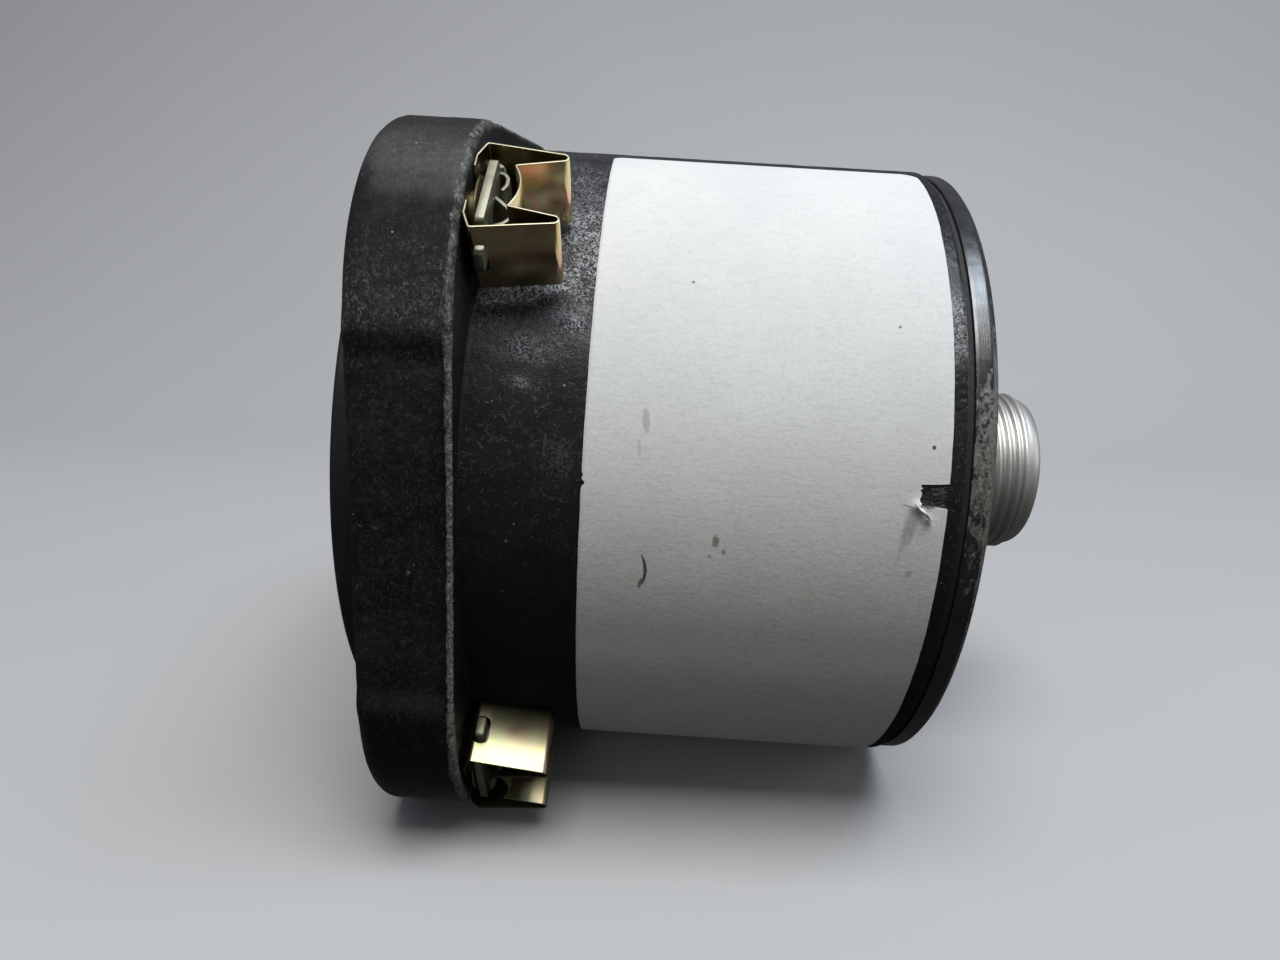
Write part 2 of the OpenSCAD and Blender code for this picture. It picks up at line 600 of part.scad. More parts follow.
nut_plate_3();
nut_plate_4();
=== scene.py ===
"""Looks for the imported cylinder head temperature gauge.

Everything is in metres in the CAD frame: the instrument axis is Y, the dial faces -Y, the
receptacle points to +Y and Z is up. Lengths below are written in millimetres and scaled by MM.
"""

import math

import bpy
import bmesh
import numpy as np
from mathutils import Matrix, Vector, noise


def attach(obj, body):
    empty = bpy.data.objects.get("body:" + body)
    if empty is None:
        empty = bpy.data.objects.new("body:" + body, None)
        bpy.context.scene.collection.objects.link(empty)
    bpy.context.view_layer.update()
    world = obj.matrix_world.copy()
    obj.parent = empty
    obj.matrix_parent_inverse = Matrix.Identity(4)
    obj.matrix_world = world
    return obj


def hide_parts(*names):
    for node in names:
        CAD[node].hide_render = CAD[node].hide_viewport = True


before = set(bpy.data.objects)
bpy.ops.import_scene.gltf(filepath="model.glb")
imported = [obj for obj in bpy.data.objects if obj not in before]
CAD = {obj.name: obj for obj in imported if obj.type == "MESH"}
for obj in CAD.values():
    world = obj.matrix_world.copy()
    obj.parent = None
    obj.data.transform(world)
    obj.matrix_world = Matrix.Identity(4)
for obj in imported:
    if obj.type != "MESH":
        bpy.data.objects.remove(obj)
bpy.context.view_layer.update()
scene = bpy.context.scene
MM = 0.001


# =============================================================== mesh helpers
def link(ob):
    scene.collection.objects.link(ob)
    return ob


def new_mesh(name, verts, faces):
    me = bpy.data.meshes.new(name)
    me.from_pydata([tuple(v) for v in (np.asarray(verts, float) * MM)], [], [tuple(int(i) for i in f) for f in faces])
    me.validate()
    return link(bpy.data.objects.new(name, me))


def loft(loops, wrap_profile=True, cap_ends=False):
    """Vertices and faces of a skin over loops, an array (loop, point, 3). Each loop is closed."""
    L, N = loops.shape[:2]
    verts = loops.reshape(-1, 3)
    faces = []
    last = L if wrap_profile else L - 1
    for i in range(last):
        a, b = i * N, ((i + 1) % L) * N
        for j in range(N):
            k = (j + 1) % N
            faces.append((a + j, a + k, b + k, b + j))
    if cap_ends and not wrap_profile:
        faces.append(tuple(range(N - 1, -1, -1)))
        faces.append(tuple(range((L - 1) * N, L * N)))
    return verts, faces


def turned_loops(profile, n=256, start=0.0):
    """Loops for a section [radius, y] turned about the axis."""
    a = np.linspace(0, 2 * math.pi, n, endpoint=False) + start
    p = np.asarray(profile, float)
    out = np.zeros((len(p), n, 3))
    out[:, :, 0] = p[:, 0:1] * np.sin(a)
    out[:, :, 1] = p[:, 1:2]
    out[:, :, 2] = p[:, 0:1] * np.cos(a)
    return out


def outward(ob):
    """Turns every face so that it looks out of its closed shell."""
    bm = bmesh.new()
    bm.from_mesh(ob.data)
    bmesh.ops.recalc_face_normals(bm, faces=bm.faces)
    bm.to_mesh(ob.data)
    bm.free()
    return ob


def shade(ob, angle=32):
    me = ob.data
    for p in me.polygons:
        p.use_smooth = True
    me.set_sharp_from_angle(angle=math.radians(angle))
    return ob


def settle(ob):
    """Applies the modifiers so far, so that the mesh itself has their shape."""
    dg = bpy.context.evaluated_depsgraph_get()
    dg.update()
    me = bpy.data.meshes.new_from_object(ob.evaluated_get(dg), depsgraph=dg)
    old = ob.data
    ob.modifiers.clear()
    ob.data = me
    bpy.data.meshes.remove(old)
    return ob


def cut(ob, tools, operation="DIFFERENCE"):
    """Boolean of ob with each closed tool object; the tools are removed."""
    for t in tools:
        m = ob.modifiers.new("cut", "BOOLEAN")
        m.operation = operation
        m.solver = "MANIFOLD"
        m.object = t
        bpy.context.view_layer.update()
        settle(ob)
    for t in tools:
        me = t.data
        bpy.data.objects.remove(t)
        bpy.data.meshes.remove(me)
    return ob


def round_polyline(points, radius, steps=5):
    """The polyline with each real corner replaced by an arc of about that radius."""
    p = [np.array(q, float) for q in points]
    out = [p[0]]
    for i in range(1, len(p) - 1):
        a, b = p[i] - p[i - 1], p[i + 1] - p[i]
        la, lb = np.linalg.norm(a), np.linalg.norm(b)
        ua, ub = a / la, b / lb
        turn = math.acos(max(-1.0, min(1.0, float(ua @ ub))))
        r = radius[i] if hasattr(radius, "__len__") else radius
        if turn < math.radians(6) or r <= 0:
            out.append(p[i])
            continue
        d = min(r * math.tan(turn / 2), la * 0.45, lb * 0.45)
        s, e = p[i] - ua * d, p[i] + ub * d
        for k in range(steps + 1):
            t = k / steps
            out.append((1 - t) ** 2 * s + 2 * t * (1 - t) * p[i] + t ** 2 * e)
    out.append(p[-1])
    return np.array(out)


def fine(points, step):
    """Adds points along the long stretches of a polyline."""
    out = [points[0]]
    for a, b in zip(points[:-1], points[1:]):
        n = max(1, int(np.linalg.norm(b - a) / step))
        for k in range(1, n + 1):
            out.append(a + (b - a) * k / n)
    keep = [out[0]]
    for q in out[1:]:
        if np.linalg.norm(q - keep[-1]) > 0.02:
            keep.append(q)
    return np.array(keep)


def rounded_section(half_w, half_t, r, n=3):
    """A rounded rectangle, as [across the strip, through the strip]."""
    out = []
    for cx, cy, a0 in ((half_w - r, half_t - r, 0), (-half_w + r, half_t - r, 90), (-half_w + r, -half_t + r, 180), (half_w - r, -half_t + r, 270)):
        for k in range(n + 1):
            a = math.radians(a0 + 90 * k / n)
            out.append((cx + r * math.cos(a), cy + r * math.sin(a)))
    return np.array(out)


def sweep_flat(line, section):
    """Loops of a section swept along a line in the local (t, y) plane: width lies along z."""
    d = np.gradient(line, axis=0)
    d /= np.linalg.norm(d, axis=1)[:, None]
    nrm = np.stack([-d[:, 1], d[:, 0]], 1)
    loops = np.zeros((len(line), len(section), 3))
    loops[:, :, 0] = line[:, None, 0] + nrm[:, None, 0] * section[None, :, 1]
    loops[:, :, 1] = line[:, None, 1] + nrm[:, None, 1] * section[None, :, 1]
    loops[:, :, 2] = section[None, :, 0]
    return loops


def fbm(p, octaves=3):
    """Fractal noise at a point in millimetres, roughly -1 to 1."""
    v = Vector(p)
    s, a = 0.0, 1.0
    for _ in range(octaves):
        s += a * noise.noise(v)
        v = v * 2.03
        a *= 0.5
    return s


def smooth(x, a, b):
    t = np.clip((np.asarray(x, float) - a) / (b - a), 0, 1)
    return t * t * (3 - 2 * t)


def attribute(ob, name, values):
    at = ob.data.attributes.new(name, "FLOAT", "POINT")
    at.data.foreach_set("value", np.asarray(values, np.float32))


def coords(ob):
    co = np.zeros(len(ob.data.vertices) * 3)
    ob.data.vertices.foreach_get("co", co)
    return co.reshape(-1, 3) / MM


def set_coords(ob, co):
    ob.data.vertices.foreach_set("co", (np.asarray(co) * MM).astype(np.float32).ravel())
    ob.data.update()


# =============================================================== material helpers
class Mat:
    """A small builder for node materials. Every texture reads Object coordinates in metres."""

    def __init__(self, name):
        self.m = bpy.data.materials.new(name)
        self.m.use_nodes = True
        self.nt = self.m.node_tree
        self.nt.nodes.clear()
        self.out = self.nt.nodes.new("ShaderNodeOutputMaterial")
        self.tc = self.nt.nodes.new("ShaderNodeTexCoord")
        self.P = self.tc.outputs["Object"]
        self.sep = None

    def n(self, kind, **props):
        node = self.nt.nodes.new(kind)
        for k, v in props.items():
            setattr(node, k, v)
        return node

    def put(self, socket, value):
        if isinstance(value, bpy.types.NodeSocket):
            self.nt.links.new(value, socket)
        elif isinstance(value, (tuple, list)) and len(value) == 3 and socket.type == "RGBA":
            socket.default_value = (*value, 1.0)
        else:
            socket.default_value = value

    def axis(self, i):
        if self.sep is None:
            self.sep = self.n("ShaderNodeSeparateXYZ")
            self.put(self.sep.inputs[0], self.P)
        return self.sep.outputs[i]

    def math(self, op, a, b=None, c=None, clamp=False):
        node = self.n("ShaderNodeMath", operation=op, use_clamp=clamp)
        self.put(node.inputs[0], a)
        if b is not None:
            self.put(node.inputs[1], b)
        if c is not None:
            self.put(node.inputs[2], c)
        return node.outputs[0]

    def scaled(self, s, vec=None):
        node = self.n("ShaderNodeMapping")
        self.put(node.inputs["Vector"], self.P if vec is None else vec)
        node.inputs["Scale"].default_value = s if hasattr(s, "__len__") else (s, s, s)
        return node.outputs[0]

    def shifted(self, loc, scale=(1, 1, 1), rot=(0, 0, 0), vec=None):
        node = self.n("ShaderNodeMapping")
        self.put(node.inputs["Vector"], self.P if vec is None else vec)
        node.inputs["Location"].default_value = loc
        node.inputs["Scale"].default_value = scale
        node.inputs["Rotation"].default_value = rot
        return node.outputs[0]

    def noise(self, scale, detail=4, rough=0.55, dist=0.0, vec=None, out="Fac"):
        node = self.n("ShaderNodeTexNoise")
        self.put(node.inputs["Vector"], self.P if vec is None else vec)
        self.put(node.inputs["Scale"], scale)
        node.inputs["Detail"].default_value = detail
        node.inputs["Roughness"].default_value = rough
        node.inputs["Distortion"].default_value = dist
        return node.outputs[out]

    def voronoi(self, scale, feature="F1", vec=None, out="Distance", rand=1.0):
        node = self.n("ShaderNodeTexVoronoi", feature=feature)
        self.put(node.inputs["Vector"], self.P if vec is None else vec)
        node.inputs["Scale"].default_value = scale
        node.inputs["Randomness"].default_value = rand
        return node.outputs[out]

    def wave(self, scale, dist=0.0, vec=None, direction="X", detail=2):
        node = self.n("ShaderNodeTexWave", bands_direction=direction)
        self.put(node.inputs["Vector"], self.P if vec is None else vec)
        node.inputs["Scale"].default_value = scale
        node.inputs["Distortion"].default_value = dist
        node.inputs["Detail"].default_value = detail
        return node.outputs["Fac"]

    def ramp(self, fac, stops, mode="LINEAR"):
        node = self.n("ShaderNodeValToRGB")
        node.color_ramp.interpolation = mode
        e = node.color_ramp.elements
        while len(e) > 1:
            e.remove(e[-1])
        for i, (pos, col) in enumerate(stops):
            col = (col, col, col) if isinstance(col, (int, float)) else col
            if i == 0:
                e[0].position, e[0].color = pos, (*col, 1)
            else:
                x = e.new(pos)
                x.color = (*col, 1)
        self.put(node.inputs[0], fac)
        return node.outputs[0]

    def band(self, fac, lo, hi):
        """0 below lo, 1 above hi."""
        node = self.n("ShaderNodeMapRange", interpolation_type="SMOOTHSTEP")
        self.put(node.inputs["Value"], fac)
        node.inputs["From Min"].default_value = lo
        node.inputs["From Max"].default_value = hi
        return node.outputs[0]

    def remap(self, fac, a, b, c, d):
        node = self.n("ShaderNodeMapRange")
        self.put(node.inputs["Value"], fac)
        node.inputs["From Min"].default_value = a
        node.inputs["From Max"].default_value = b
        node.inputs["To Min"].default_value = c
        node.inputs["To Max"].default_value = d
        return node.outputs[0]

    def mix(self, fac, a, b, kind="MIX"):
        node = self.n("ShaderNodeMix", data_type="RGBA", blend_type=kind)
        self.put(node.inputs["Factor"], fac)
        self.put(node.inputs["A"], a) if False else self.put([s for s in node.inputs if s.name == "A" and s.type == "RGBA"][0], a)
        self.put([s for s in node.inputs if s.name == "B" and s.type == "RGBA"][0], b)
        return [s for s in node.outputs if s.type == "RGBA"][0]

    def attr(self, name):
        node = self.n("ShaderNodeAttribute")
        node.attribute_name = name
        return node.outputs["Fac"]

    def bump(self, height, strength, distance_mm, normal=None):
        node = self.n("ShaderNodeBump")
        node.inputs["Strength"].default_value = strength
        node.inputs["Distance"].default_value = distance_mm * MM
        self.put(node.inputs["Height"], height)
        if normal is not None:
            self.put(node.inputs["Normal"], normal)
        return node.outputs[0]

    def finish(self, **sockets):
        b = self.n("ShaderNodeBsdfPrincipled")
        for k, v in sockets.items():
            self.put(b.inputs[k.replace("_", " ")], v)
        self.nt.links.new(b.outputs[0], self.out.inputs["Surface"])
        return self.m


def metal(name, colour, rough=0.32, tone=0.12, scale=260.0, turned=False, brushed=0.0, metallic=1.0):
    """Plain metal with tone variation, fine grain and small scratches."""
    m = Mat(name)
    big = m.noise(scale, 5, 0.6)
    fine_ = m.noise(scale * 9, 3, 0.6)
    dark = tuple(c * (1 - tone * 2.2) for c in colour)
    lite = tuple(min(1.0, c * (1 + tone)) for c in colour)
    col = m.ramp(big, [(0.28, dark), (0.55, colour), (0.78, lite)])
    if turned:
        # turning marks: rings about the axis
        lines = m.noise(1.0, 4, 0.7, vec=m.scaled((60, 16000, 60)))
    else:
        lines = m.noise(1.0, 3, 0.7, vec=m.scaled((9000, 500, 700)))
    col = m.mix(m.math("MULTIPLY", m.band(lines, 0.55, 0.8), 0.35), col, dark)
    r = m.math("ADD", m.remap(big, 0.3, 0.7, rough - 0.07, rough + 0.12), m.remap(fine_, 0.3, 0.7, -0.03, 0.05))
    n1 = m.bump(fine_, 0.25, 0.02)
    n2 = m.bump(lines, 0.20 + brushed, 0.012, n1)
    return m.finish(Base_Color=col, Metallic=metallic, Roughness=r, Normal=n2)


def plastic(name, colour, rough=0.45, tone=0.35, dust=(0.22, 0.21, 0.19), dust_amount=0.25, grain=0.3):
    """Moulded or painted plain surface with dust in patches, scuffs and a fine grain."""
    m = Mat(name)
    big = m.noise(120, 5, 0.6)
    small = m.noise(1500, 4, 0.6)
    scuff = m.noise(1.0, 4, 0.75, vec=m.scaled((2600, 240, 700)))
    col = m.ramp(big, [(0.3, tuple(c * (1 - tone) for c in colour)), (0.7, tuple(c * (1 + tone) for c in colour))])
    d = m.math("MULTIPLY", m.band(m.math("ADD", m.math("MULTIPLY", big, 0.5), m.math("MULTIPLY", scuff, 0.5)), 0.5, 0.72), dust_amount)
    col = m.mix(d, col, dust)
    r = m.remap(small, 0.25, 0.75, rough - 0.08, rough + 0.12)
    return m.finish(Base_Color=col, Roughness=r, Normal=m.bump(small, grain, 0.03))


# =============================================================== the camera, floor and lights
cam_data = bpy.data.cameras.new("camera")
cam_data.lens = 24.814
cam_data.sensor_width = 36.0
cam_data.sensor_fit = "HORIZONTAL"
cam_data.clip_start, cam_data.clip_end = 0.005, 20
cam = link(bpy.data.objects.new("camera", cam_data))
right = Vector((-0.03004917, 0.99790922, 0.05722086))
up = Vector((-0.29000509, -0.06348832, 0.9549169))
back = Vector((0.95655324, 0.01210012, 0.29130653))
cam.matrix_world = Matrix(((right.x, up.x, back.x, 0.12370463), (right.y, up.y, back.y, 0.03053446), (right.z, up.z, back.z, 0.03272557), (0, 0, 0, 1)))
scene.camera = cam

# The gauge lies on the flange's lower edge and the rear cover's rim, so the floor slopes in this frame.
FLOOR_SLOPE = (41.275 - 39.24) / (64.5 - 11.0)
FLOOR_Z0 = -41.275 - 11.0 * FLOOR_SLOPE - 0.03


def floor_z(y_mm):
    return FLOOR_Z0 + FLOOR_SLOPE * y_mm


def studio():
    """A floor that runs back and curves up behind the object."""
    n_y, pts = 61, []
    prof = [(1500, 0), (600, 0), (200, 0), (0, 0), (-150, 0)]
    for k in range(1, 17):
        a = math.radians(90 * k / 16)
        prof.append((-150 - 220 * math.sin(a), 220 - 220 * math.cos(a)))
    prof += [(-370, 600), (-370, 1200)]
    prof = np.array(prof, float)
    ys = np.linspace(-1500, 1600, n_y)
    verts, faces = [], []
    for x, h in prof:
        for y in ys:
            verts.append((x, y, floor_z(y) + h))
    for i in range(len(prof) - 1):
        for j in range(n_y - 1):
            a = i * n_y + j
            faces.append((a, a + 1, a + n_y + 1, a + n_y))
    ob = new_mesh("floor", verts, faces)
    m = Mat("floor_paper")
    big = m.noise(3.0, 3, 0.5)
    small = m.noise(900, 3, 0.6)
    col = m.ramp(big, [(0.3, (0.47, 0.47, 0.475)), (0.7, (0.51, 0.51, 0.51))])
    ob.data.materials.append(m.finish(Base_Color=col, Roughness=0.85, Normal=m.bump(small, 0.08, 0.05)))
    shade(ob, 60)
    ob.visible_diffuse = False
    ob.visible_glossy = False
    return ob


floor = studio()


def area(name, where, aim, size, power, colour=(1, 1, 1)):
    data = bpy.data.lights.new(name, "AREA")
    data.shape = "RECTANGLE"
    data.size, data.size_y = size
    data.energy = power
    data.color = colour
    ob = link(bpy.data.objects.new(name, data))
    ob.location = Vector(where)
    ob.rotation_euler = (Vector(aim) - Vector(where)).to_track_quat("-Z", "Y").to_euler()
    return ob


area("key", (0.20, 0.04, 0.62), (0.0, 0.03, 0.0), (0.42, 0.37), 4.05, (1.0, 1.0, 0.99))
area("sky", (0.07, 0.285, 0.60), (0.0, 0.06, 0.0), (0.26, 0.17), 0.95, (0.70, 0.84, 1.0))
area("rear_fill", (0.10, 0.75, 0.30), (0.0, 0.05, 0.0), (0.4, 0.4), 0.7, (0.95, 0.97, 1.0))

world = bpy.data.worlds.new("studio")
world.use_nodes = True
wt = world.node_tree
bg = wt.nodes["Background"]
w_tc = wt.nodes.new("ShaderNodeTexCoord")
w_sep = wt.nodes.new("ShaderNodeSeparateXYZ")
w_ramp = wt.nodes.new("ShaderNodeValToRGB")
w_map = wt.nodes.new("ShaderNodeMapRange")
w_map.inputs["From Min"].default_value, w_map.inputs["From Max"].default_value = -1.0, 1.0
wt.links.new(w_tc.outputs["Generated"], w_sep.inputs[0])
wt.links.new(w_sep.outputs[2], w_map.inputs["Value"])
wt.links.new(w_map.outputs[0], w_ramp.inputs[0])
wt.links.new(w_ramp.outputs[0], bg.inputs[0])
w_ramp.color_ramp.elements[0].position, w_ramp.color_ramp.elements[0].color = 0.36, (0.045, 0.045, 0.044, 1)
w_ramp.color_ramp.elements[1].position, w_ramp.color_ramp.elements[1].color = 0.70, (0.17, 0.18, 0.20, 1)
bg.inputs[1].default_value = 1.0
scene.world = world
scene.view_settings.view_transform = "Standard"


# =============================================================== materials
def case_material():
    m = Mat("case_paint")
    y, z = m.axis(1), m.axis(2)
    barrel = m.band(y, 0.0109, 0.0114)           # 0 on the flange, 1 on the barrel
    wear, silver = m.attr("wear"), m.attr("silver")
    big = m.noise(55, 4, 0.6)
    mid = m.noise(340, 5, 0.62)
    grit = m.noise(1700, 5, 0.72, 0.4)
    fine_ = m.noise(4200, 3, 0.7)
    # criss-crossed scuffing and lint-like curls on the moulded flange
    s1 = m.noise(1.0, 4, 0.8, 0.4, vec=m.shifted((0, 0, 0), (2600, 900, 330), (0.3, 0.2, 0.5)))
    s2 = m.noise(1.0, 4, 0.8, 0.4, vec=m.shifted((3, 1, 2), (500, 3400, 700), (0.9, 0.1, 0.2)))
    hair = m.math("MAXIMUM", m.band(s1, 0.60, 0.78), m.band(s2, 0.62, 0.80))
    g1 = m.noise(1.0, 4, 0.65, 1.1, vec=m.shifted((0, 0, 0), (700, 2600, 420), (0.75, 0, 0)))
    g2 = m.noise(1.0, 4, 0.65, 1.1, vec=m.shifted((4, 2, 8), (700, 3400, 520), (1.35, 0, 0.1)))
    g3 = m.noise(1.0, 4, 0.65, 0.8, vec=m.shifted((6, 7, 3), (700, 3000, 600), (2.5, 0, 0)))
    gouge = m.math("MAXIMUM", m.math("MAXIMUM", m.band(g1, 0.665, 0.70), m.band(g2, 0.67, 0.71)), m.band(g3, 0.685, 0.72))

    def curl(scale, shift, thin, keep):
        """Short curved lines: the level line of one noise, broken up by another."""
        c = m.math("ABSOLUTE", m.math("SUBTRACT", m.noise(scale, 2, 0.5, 1.2, vec=m.shifted(shift)), 0.5))
        return m.math("MULTIPLY", m.math("SUBTRACT", 1.0, m.band(c, thin * 0.4, thin)), m.band(m.noise(scale * 2.1, 2, 0.5, vec=m.shifted((shift[1], shift[0], shift[2]))), keep, keep + 0.06))

    curls = m.math("MAXIMUM", curl(520, (3, 5, 1), 0.016, 0.52), curl(900, (8, 2, 6), 0.024, 0.54))
    zz = m.math("ADD", z, m.math("MULTIPLY", m.math("SUBTRACT", big, 0.5), 0.004))
    dusty = m.math("MULTIPLY", m.band(zz, 0.0338, 0.0362), m.remap(mid, 0.3, 0.7, 0.6, 1.2))
    # painted light and shade: on the side facing +x the flange's colour is scaled in bands by height, elsewhere by a
    # flat 0.6
    painted_light_by_height = m.ramp(m.remap(zz, -0.0413, 0.0413, 0.0, 1.0), [(0.0, 0.22), (0.13, 0.18), (0.27, 0.22), (0.33, 0.44), (0.58, 0.50), (0.70, 0.75), (0.745, 1.5), (0.78, 2.0), (0.815, 1.1), (0.86, 0.40), (0.905, 0.18), (0.925, 0.75), (0.96, 0.70), (0.985, 0.25), (1.0, 0.25)])
    painted_light_by_height = m.mix(m.band(m.axis(0), 0.0, 0.020), (0.6, 0.6, 0.6), painted_light_by_height)
    flange_col = m.ramp(big, [(0.3, (0.010, 0.010, 0.0105)), (0.55, (0.015, 0.015, 0.0155)), (0.75, (0.021, 0.021, 0.0215))])
    mottle = m.math("ADD", m.math("MULTIPLY", grit, 0.6), m.math("MULTIPLY", fine_, 0.4))
    flange_col = m.mix(m.math("MULTIPLY", m.band(mottle, 0.51, 0.60), 0.62), flange_col, (0.080, 0.081, 0.077))
    flange_col = m.mix(m.math("MULTIPLY", m.math("SUBTRACT", 1.0, m.band(mottle, 0.40, 0.49)), 0.8), flange_col, (0.004, 0.004, 0.004))
    flange_col = m.mix(m.math("MULTIPLY", hair, 0.12), flange_col, (0.16, 0.155, 0.15))
    flange_col = m.mix(m.math("MULTIPLY", curls, 0.40), flange_col, (0.17, 0.170, 0.155))
    flange_col = m.mix(m.math("MULTIPLY", gouge, 0.62), flange_col, (0.20, 0.205, 0.185))
    haze = m.math("MULTIPLY", m.band(m.math("ADD", m.math("MULTIPLY", mid, 0.6), m.math("MULTIPLY", big, 0.4)), 0.46, 0.66), 0.22)
    flange_col = m.mix(haze, flange_col, (0.060, 0.060, 0.062))
    flange_col = m.mix(m.math("MULTIPLY", dusty, m.remap(mottle, 0.35, 0.65, 0.18, 0.55)), flange_col, (0.115, 0.120, 0.110))
    flange_col = m.mix(1.0, flange_col, painted_light_by_height, kind="MULTIPLY")
    # painted shade: the flange's rear face, in the corner against the barrel, is darkened to 0.35
    flange_col = m.mix(m.band(y, 0.01075, 0.01090), flange_col, (0.35, 0.35, 0.35), kind="MULTIPLY")
    barrel_col = m.ramp(mid, [(0.3, (0.0045, 0.0045, 0.005)), (0.7, (0.009, 0.009, 0.010))])
    barrel_col = m.mix(m.math("MULTIPLY", m.band(m.noise(800, 5, 0.7), 0.60, 0.75), m.remap(z, -0.008, 0.012, 0.03, 0.18)), barrel_col, (0.07, 0.072, 0.078))
    barrel_col = m.mix(m.math("MULTIPLY", m.band(mottle, 0.55, 0.62), m.math("MULTIPLY", m.remap(z, -0.004, 0.022, 0.0, 0.12), m.remap(y, 0.059, 0.0605, 1.0, 0.2))), barrel_col, (0.085, 0.087, 0.086))
    # painted glare: pale flecks and worm-like pale lines on the barrel's black paint, inside the pebbled patches and in
    # a band beside the groove
    worms = m.math("MAXIMUM", curl(1150, (5, 1, 4), 0.045, 0.44), curl(1900, (2, 7, 3), 0.055, 0.44))
    glare_by_groove = m.math("MULTIPLY", m.band(y, 0.0600, 0.0604), m.math("MULTIPLY", m.band(z, 0.0190, 0.0215), m.math("SUBTRACT", 1.0, m.band(z, 0.0250, 0.0280))))
    glare_mask = m.math("MAXIMUM", silver, m.math("MULTIPLY", glare_by_groove, 0.5))
    barrel_col = m.mix(m.math("MULTIPLY", glare_mask, m.math("MULTIPLY", m.band(mottle, 0.51, 0.57), 0.36)), barrel_col, (0.26, 0.27, 0.29))
    barrel_col = m.mix(m.math("MULTIPLY", glare_mask, m.math("MULTIPLY", worms, 0.95)), barrel_col, (0.52, 0.53, 0.55))
    barrel_col = m.mix(m.math("MULTIPLY", m.math("MAXIMUM", curls, m.math("MULTIPLY", gouge, 0.7)), m.remap(z, -0.008, 0.012, 0.03, 0.34)), barrel_col, (0.15, 0.152, 0.150))
    col = m.mix(barrel, flange_col, barrel_col)
    # worn edges show grey
    wn = m.math("ADD", m.math("MULTIPLY", wear, 1.0), m.math("MULTIPLY", m.math("SUBTRACT", m.noise(900, 5, 0.7), 0.5), 1.1))
    worn = m.math("MULTIPLY", m.band(wn, 0.42, 0.76), m.band(wear, 0.05, 0.25))
    worn_col = m.ramp(m.math("ADD", m.math("MULTIPLY", fine_, 0.5), m.math("MULTIPLY", grit, 0.5)), [(0.36, (0.036, 0.037, 0.032)), (0.47, (0.115, 0.117, 0.103)), (0.53, (0.23, 0.232, 0.208)), (0.62, (0.46, 0.455, 0.42))])
    col = m.mix(m.math("MULTIPLY", worn, 0.75), col, worn_col)
    # glue and paper fibres left where a piece of the label's edge is torn off
    left = m.math("MULTIPLY", m.math("MULTIPLY", m.band(z, 0.0057, 0.0062), m.math("SUBTRACT", 1.0, m.band(z, 0.0079, 0.0084))), m.math("MULTIPLY", m.band(y, 0.0573, 0.0579), m.math("SUBTRACT", 1.0, m.band(y, 0.0598, 0.0604))))
    left = m.math("MULTIPLY", left, m.band(m.axis(0), 0.030, 0.034))
    fuzz = m.noise(1.0, 4, 0.7, 1.6, vec=m.shifted((0, 0, 0), (900, 900, 5200), (0.25, 0, 0)))
    col = m.mix(m.math("MULTIPLY", left, m.band(fuzz, 0.50, 0.66)), col, (0.17, 0.175, 0.16))
    # pale specks of dust
    v = m.voronoi(420, out="Distance")
    pick = m.band(m.noise(330, 2, 0.5, vec=m.shifted((5, 2, 7))), 0.60, 0.64)
    speck = m.math("MULTIPLY", m.math("SUBTRACT", 1.0, m.band(v, 0.05, 0.10)), pick)
    v2 = m.voronoi(950, out="Distance", vec=m.shifted((1, 1, 3)))
    pick2 = m.band(m.noise(700, 2, 0.5, vec=m.shifted((2, 2, 9))), 0.60, 0.64)
    speck = m.math("MAXIMUM", speck, m.math("MULTIPLY", m.math("SUBTRACT", 1.0, m.band(v2, 0.08, 0.14)), pick2))
    col = m.mix(m.math("MULTIPLY", speck, m.remap(z, -0.016, 0.0, 0.12, 0.7)), col, (0.36, 0.36, 0.32))
    polished = m.math("MULTIPLY", m.band(zz, 0.0318, 0.0336), m.math("SUBTRACT", 1.0, m.band(zz, 0.0388, 0.0402)))
    matt = m.math("SUBTRACT", m.band(z, 0.018, 0.024), polished, clamp=True)
    rough_f = m.math("ADD", m.remap(mid, 0.3, 0.7, 0.46, 0.66), m.math("MULTIPLY", matt, 0.27))
    rough_f = m.math("SUBTRACT", rough_f, m.math("MULTIPLY", m.math("SUBTRACT", 1.0, m.band(z, -0.024, -0.012)), 0.20))
    rough_b = m.math("ADD", m.math("MULTIPLY", m.math("SUBTRACT", 1.0, m.band(z, -0.018, -0.004)), 0.30), m.remap(m.noise(210, 4, 0.6), 0.3, 0.7, 0.44, 0.62))
    rough_b = m.math("SUBTRACT", rough_b, m.math("MULTIPLY", m.band(z, 0.004, 0.022), 0.20))
    rough = m.mix(barrel, rough_f, rough_b)
    rough = m.mix(worn, rough, (0.6, 0.6, 0.6))
    # lumps in the barrel's paint, pebbled in patches
    pebble = m.voronoi(1300, feature="SMOOTH_F1", out="Distance")
    patch = m.band(m.noise(90, 3, 0.5, vec=m.shifted((2, 9, 4))), 0.44, 0.60)
    peb = m.math("MULTIPLY", m.math("MULTIPLY", pebble, m.math("MAXIMUM", m.math("MULTIPLY", patch, m.remap(z, 0.004, 0.018, 0.0, 0.7)), silver)), barrel)
    grain_b = m.math("MULTIPLY", m.math("MULTIPLY", grit, m.remap(silver, 0.0, 0.6, 0.05, 1.0)), barrel)
    n1 = m.bump(m.noise(420, 4, 0.6), 0.45, 0.10)
    n2 = m.bump(peb, 0.8, 0.12, n1)
    n3 = m.bump(grain_b, 1.0, 0.22, n2)
    n4 = m.bump(mottle, 0.8, 0.07, n3)
    n5 = m.bump(m.math("MAXIMUM", m.math("MAXIMUM", hair, curls), gouge), 0.35, -0.03, n4)
    return m.finish(Base_Color=col, Roughness=rough, Normal=n5, Specular_IOR_Level=0.33)


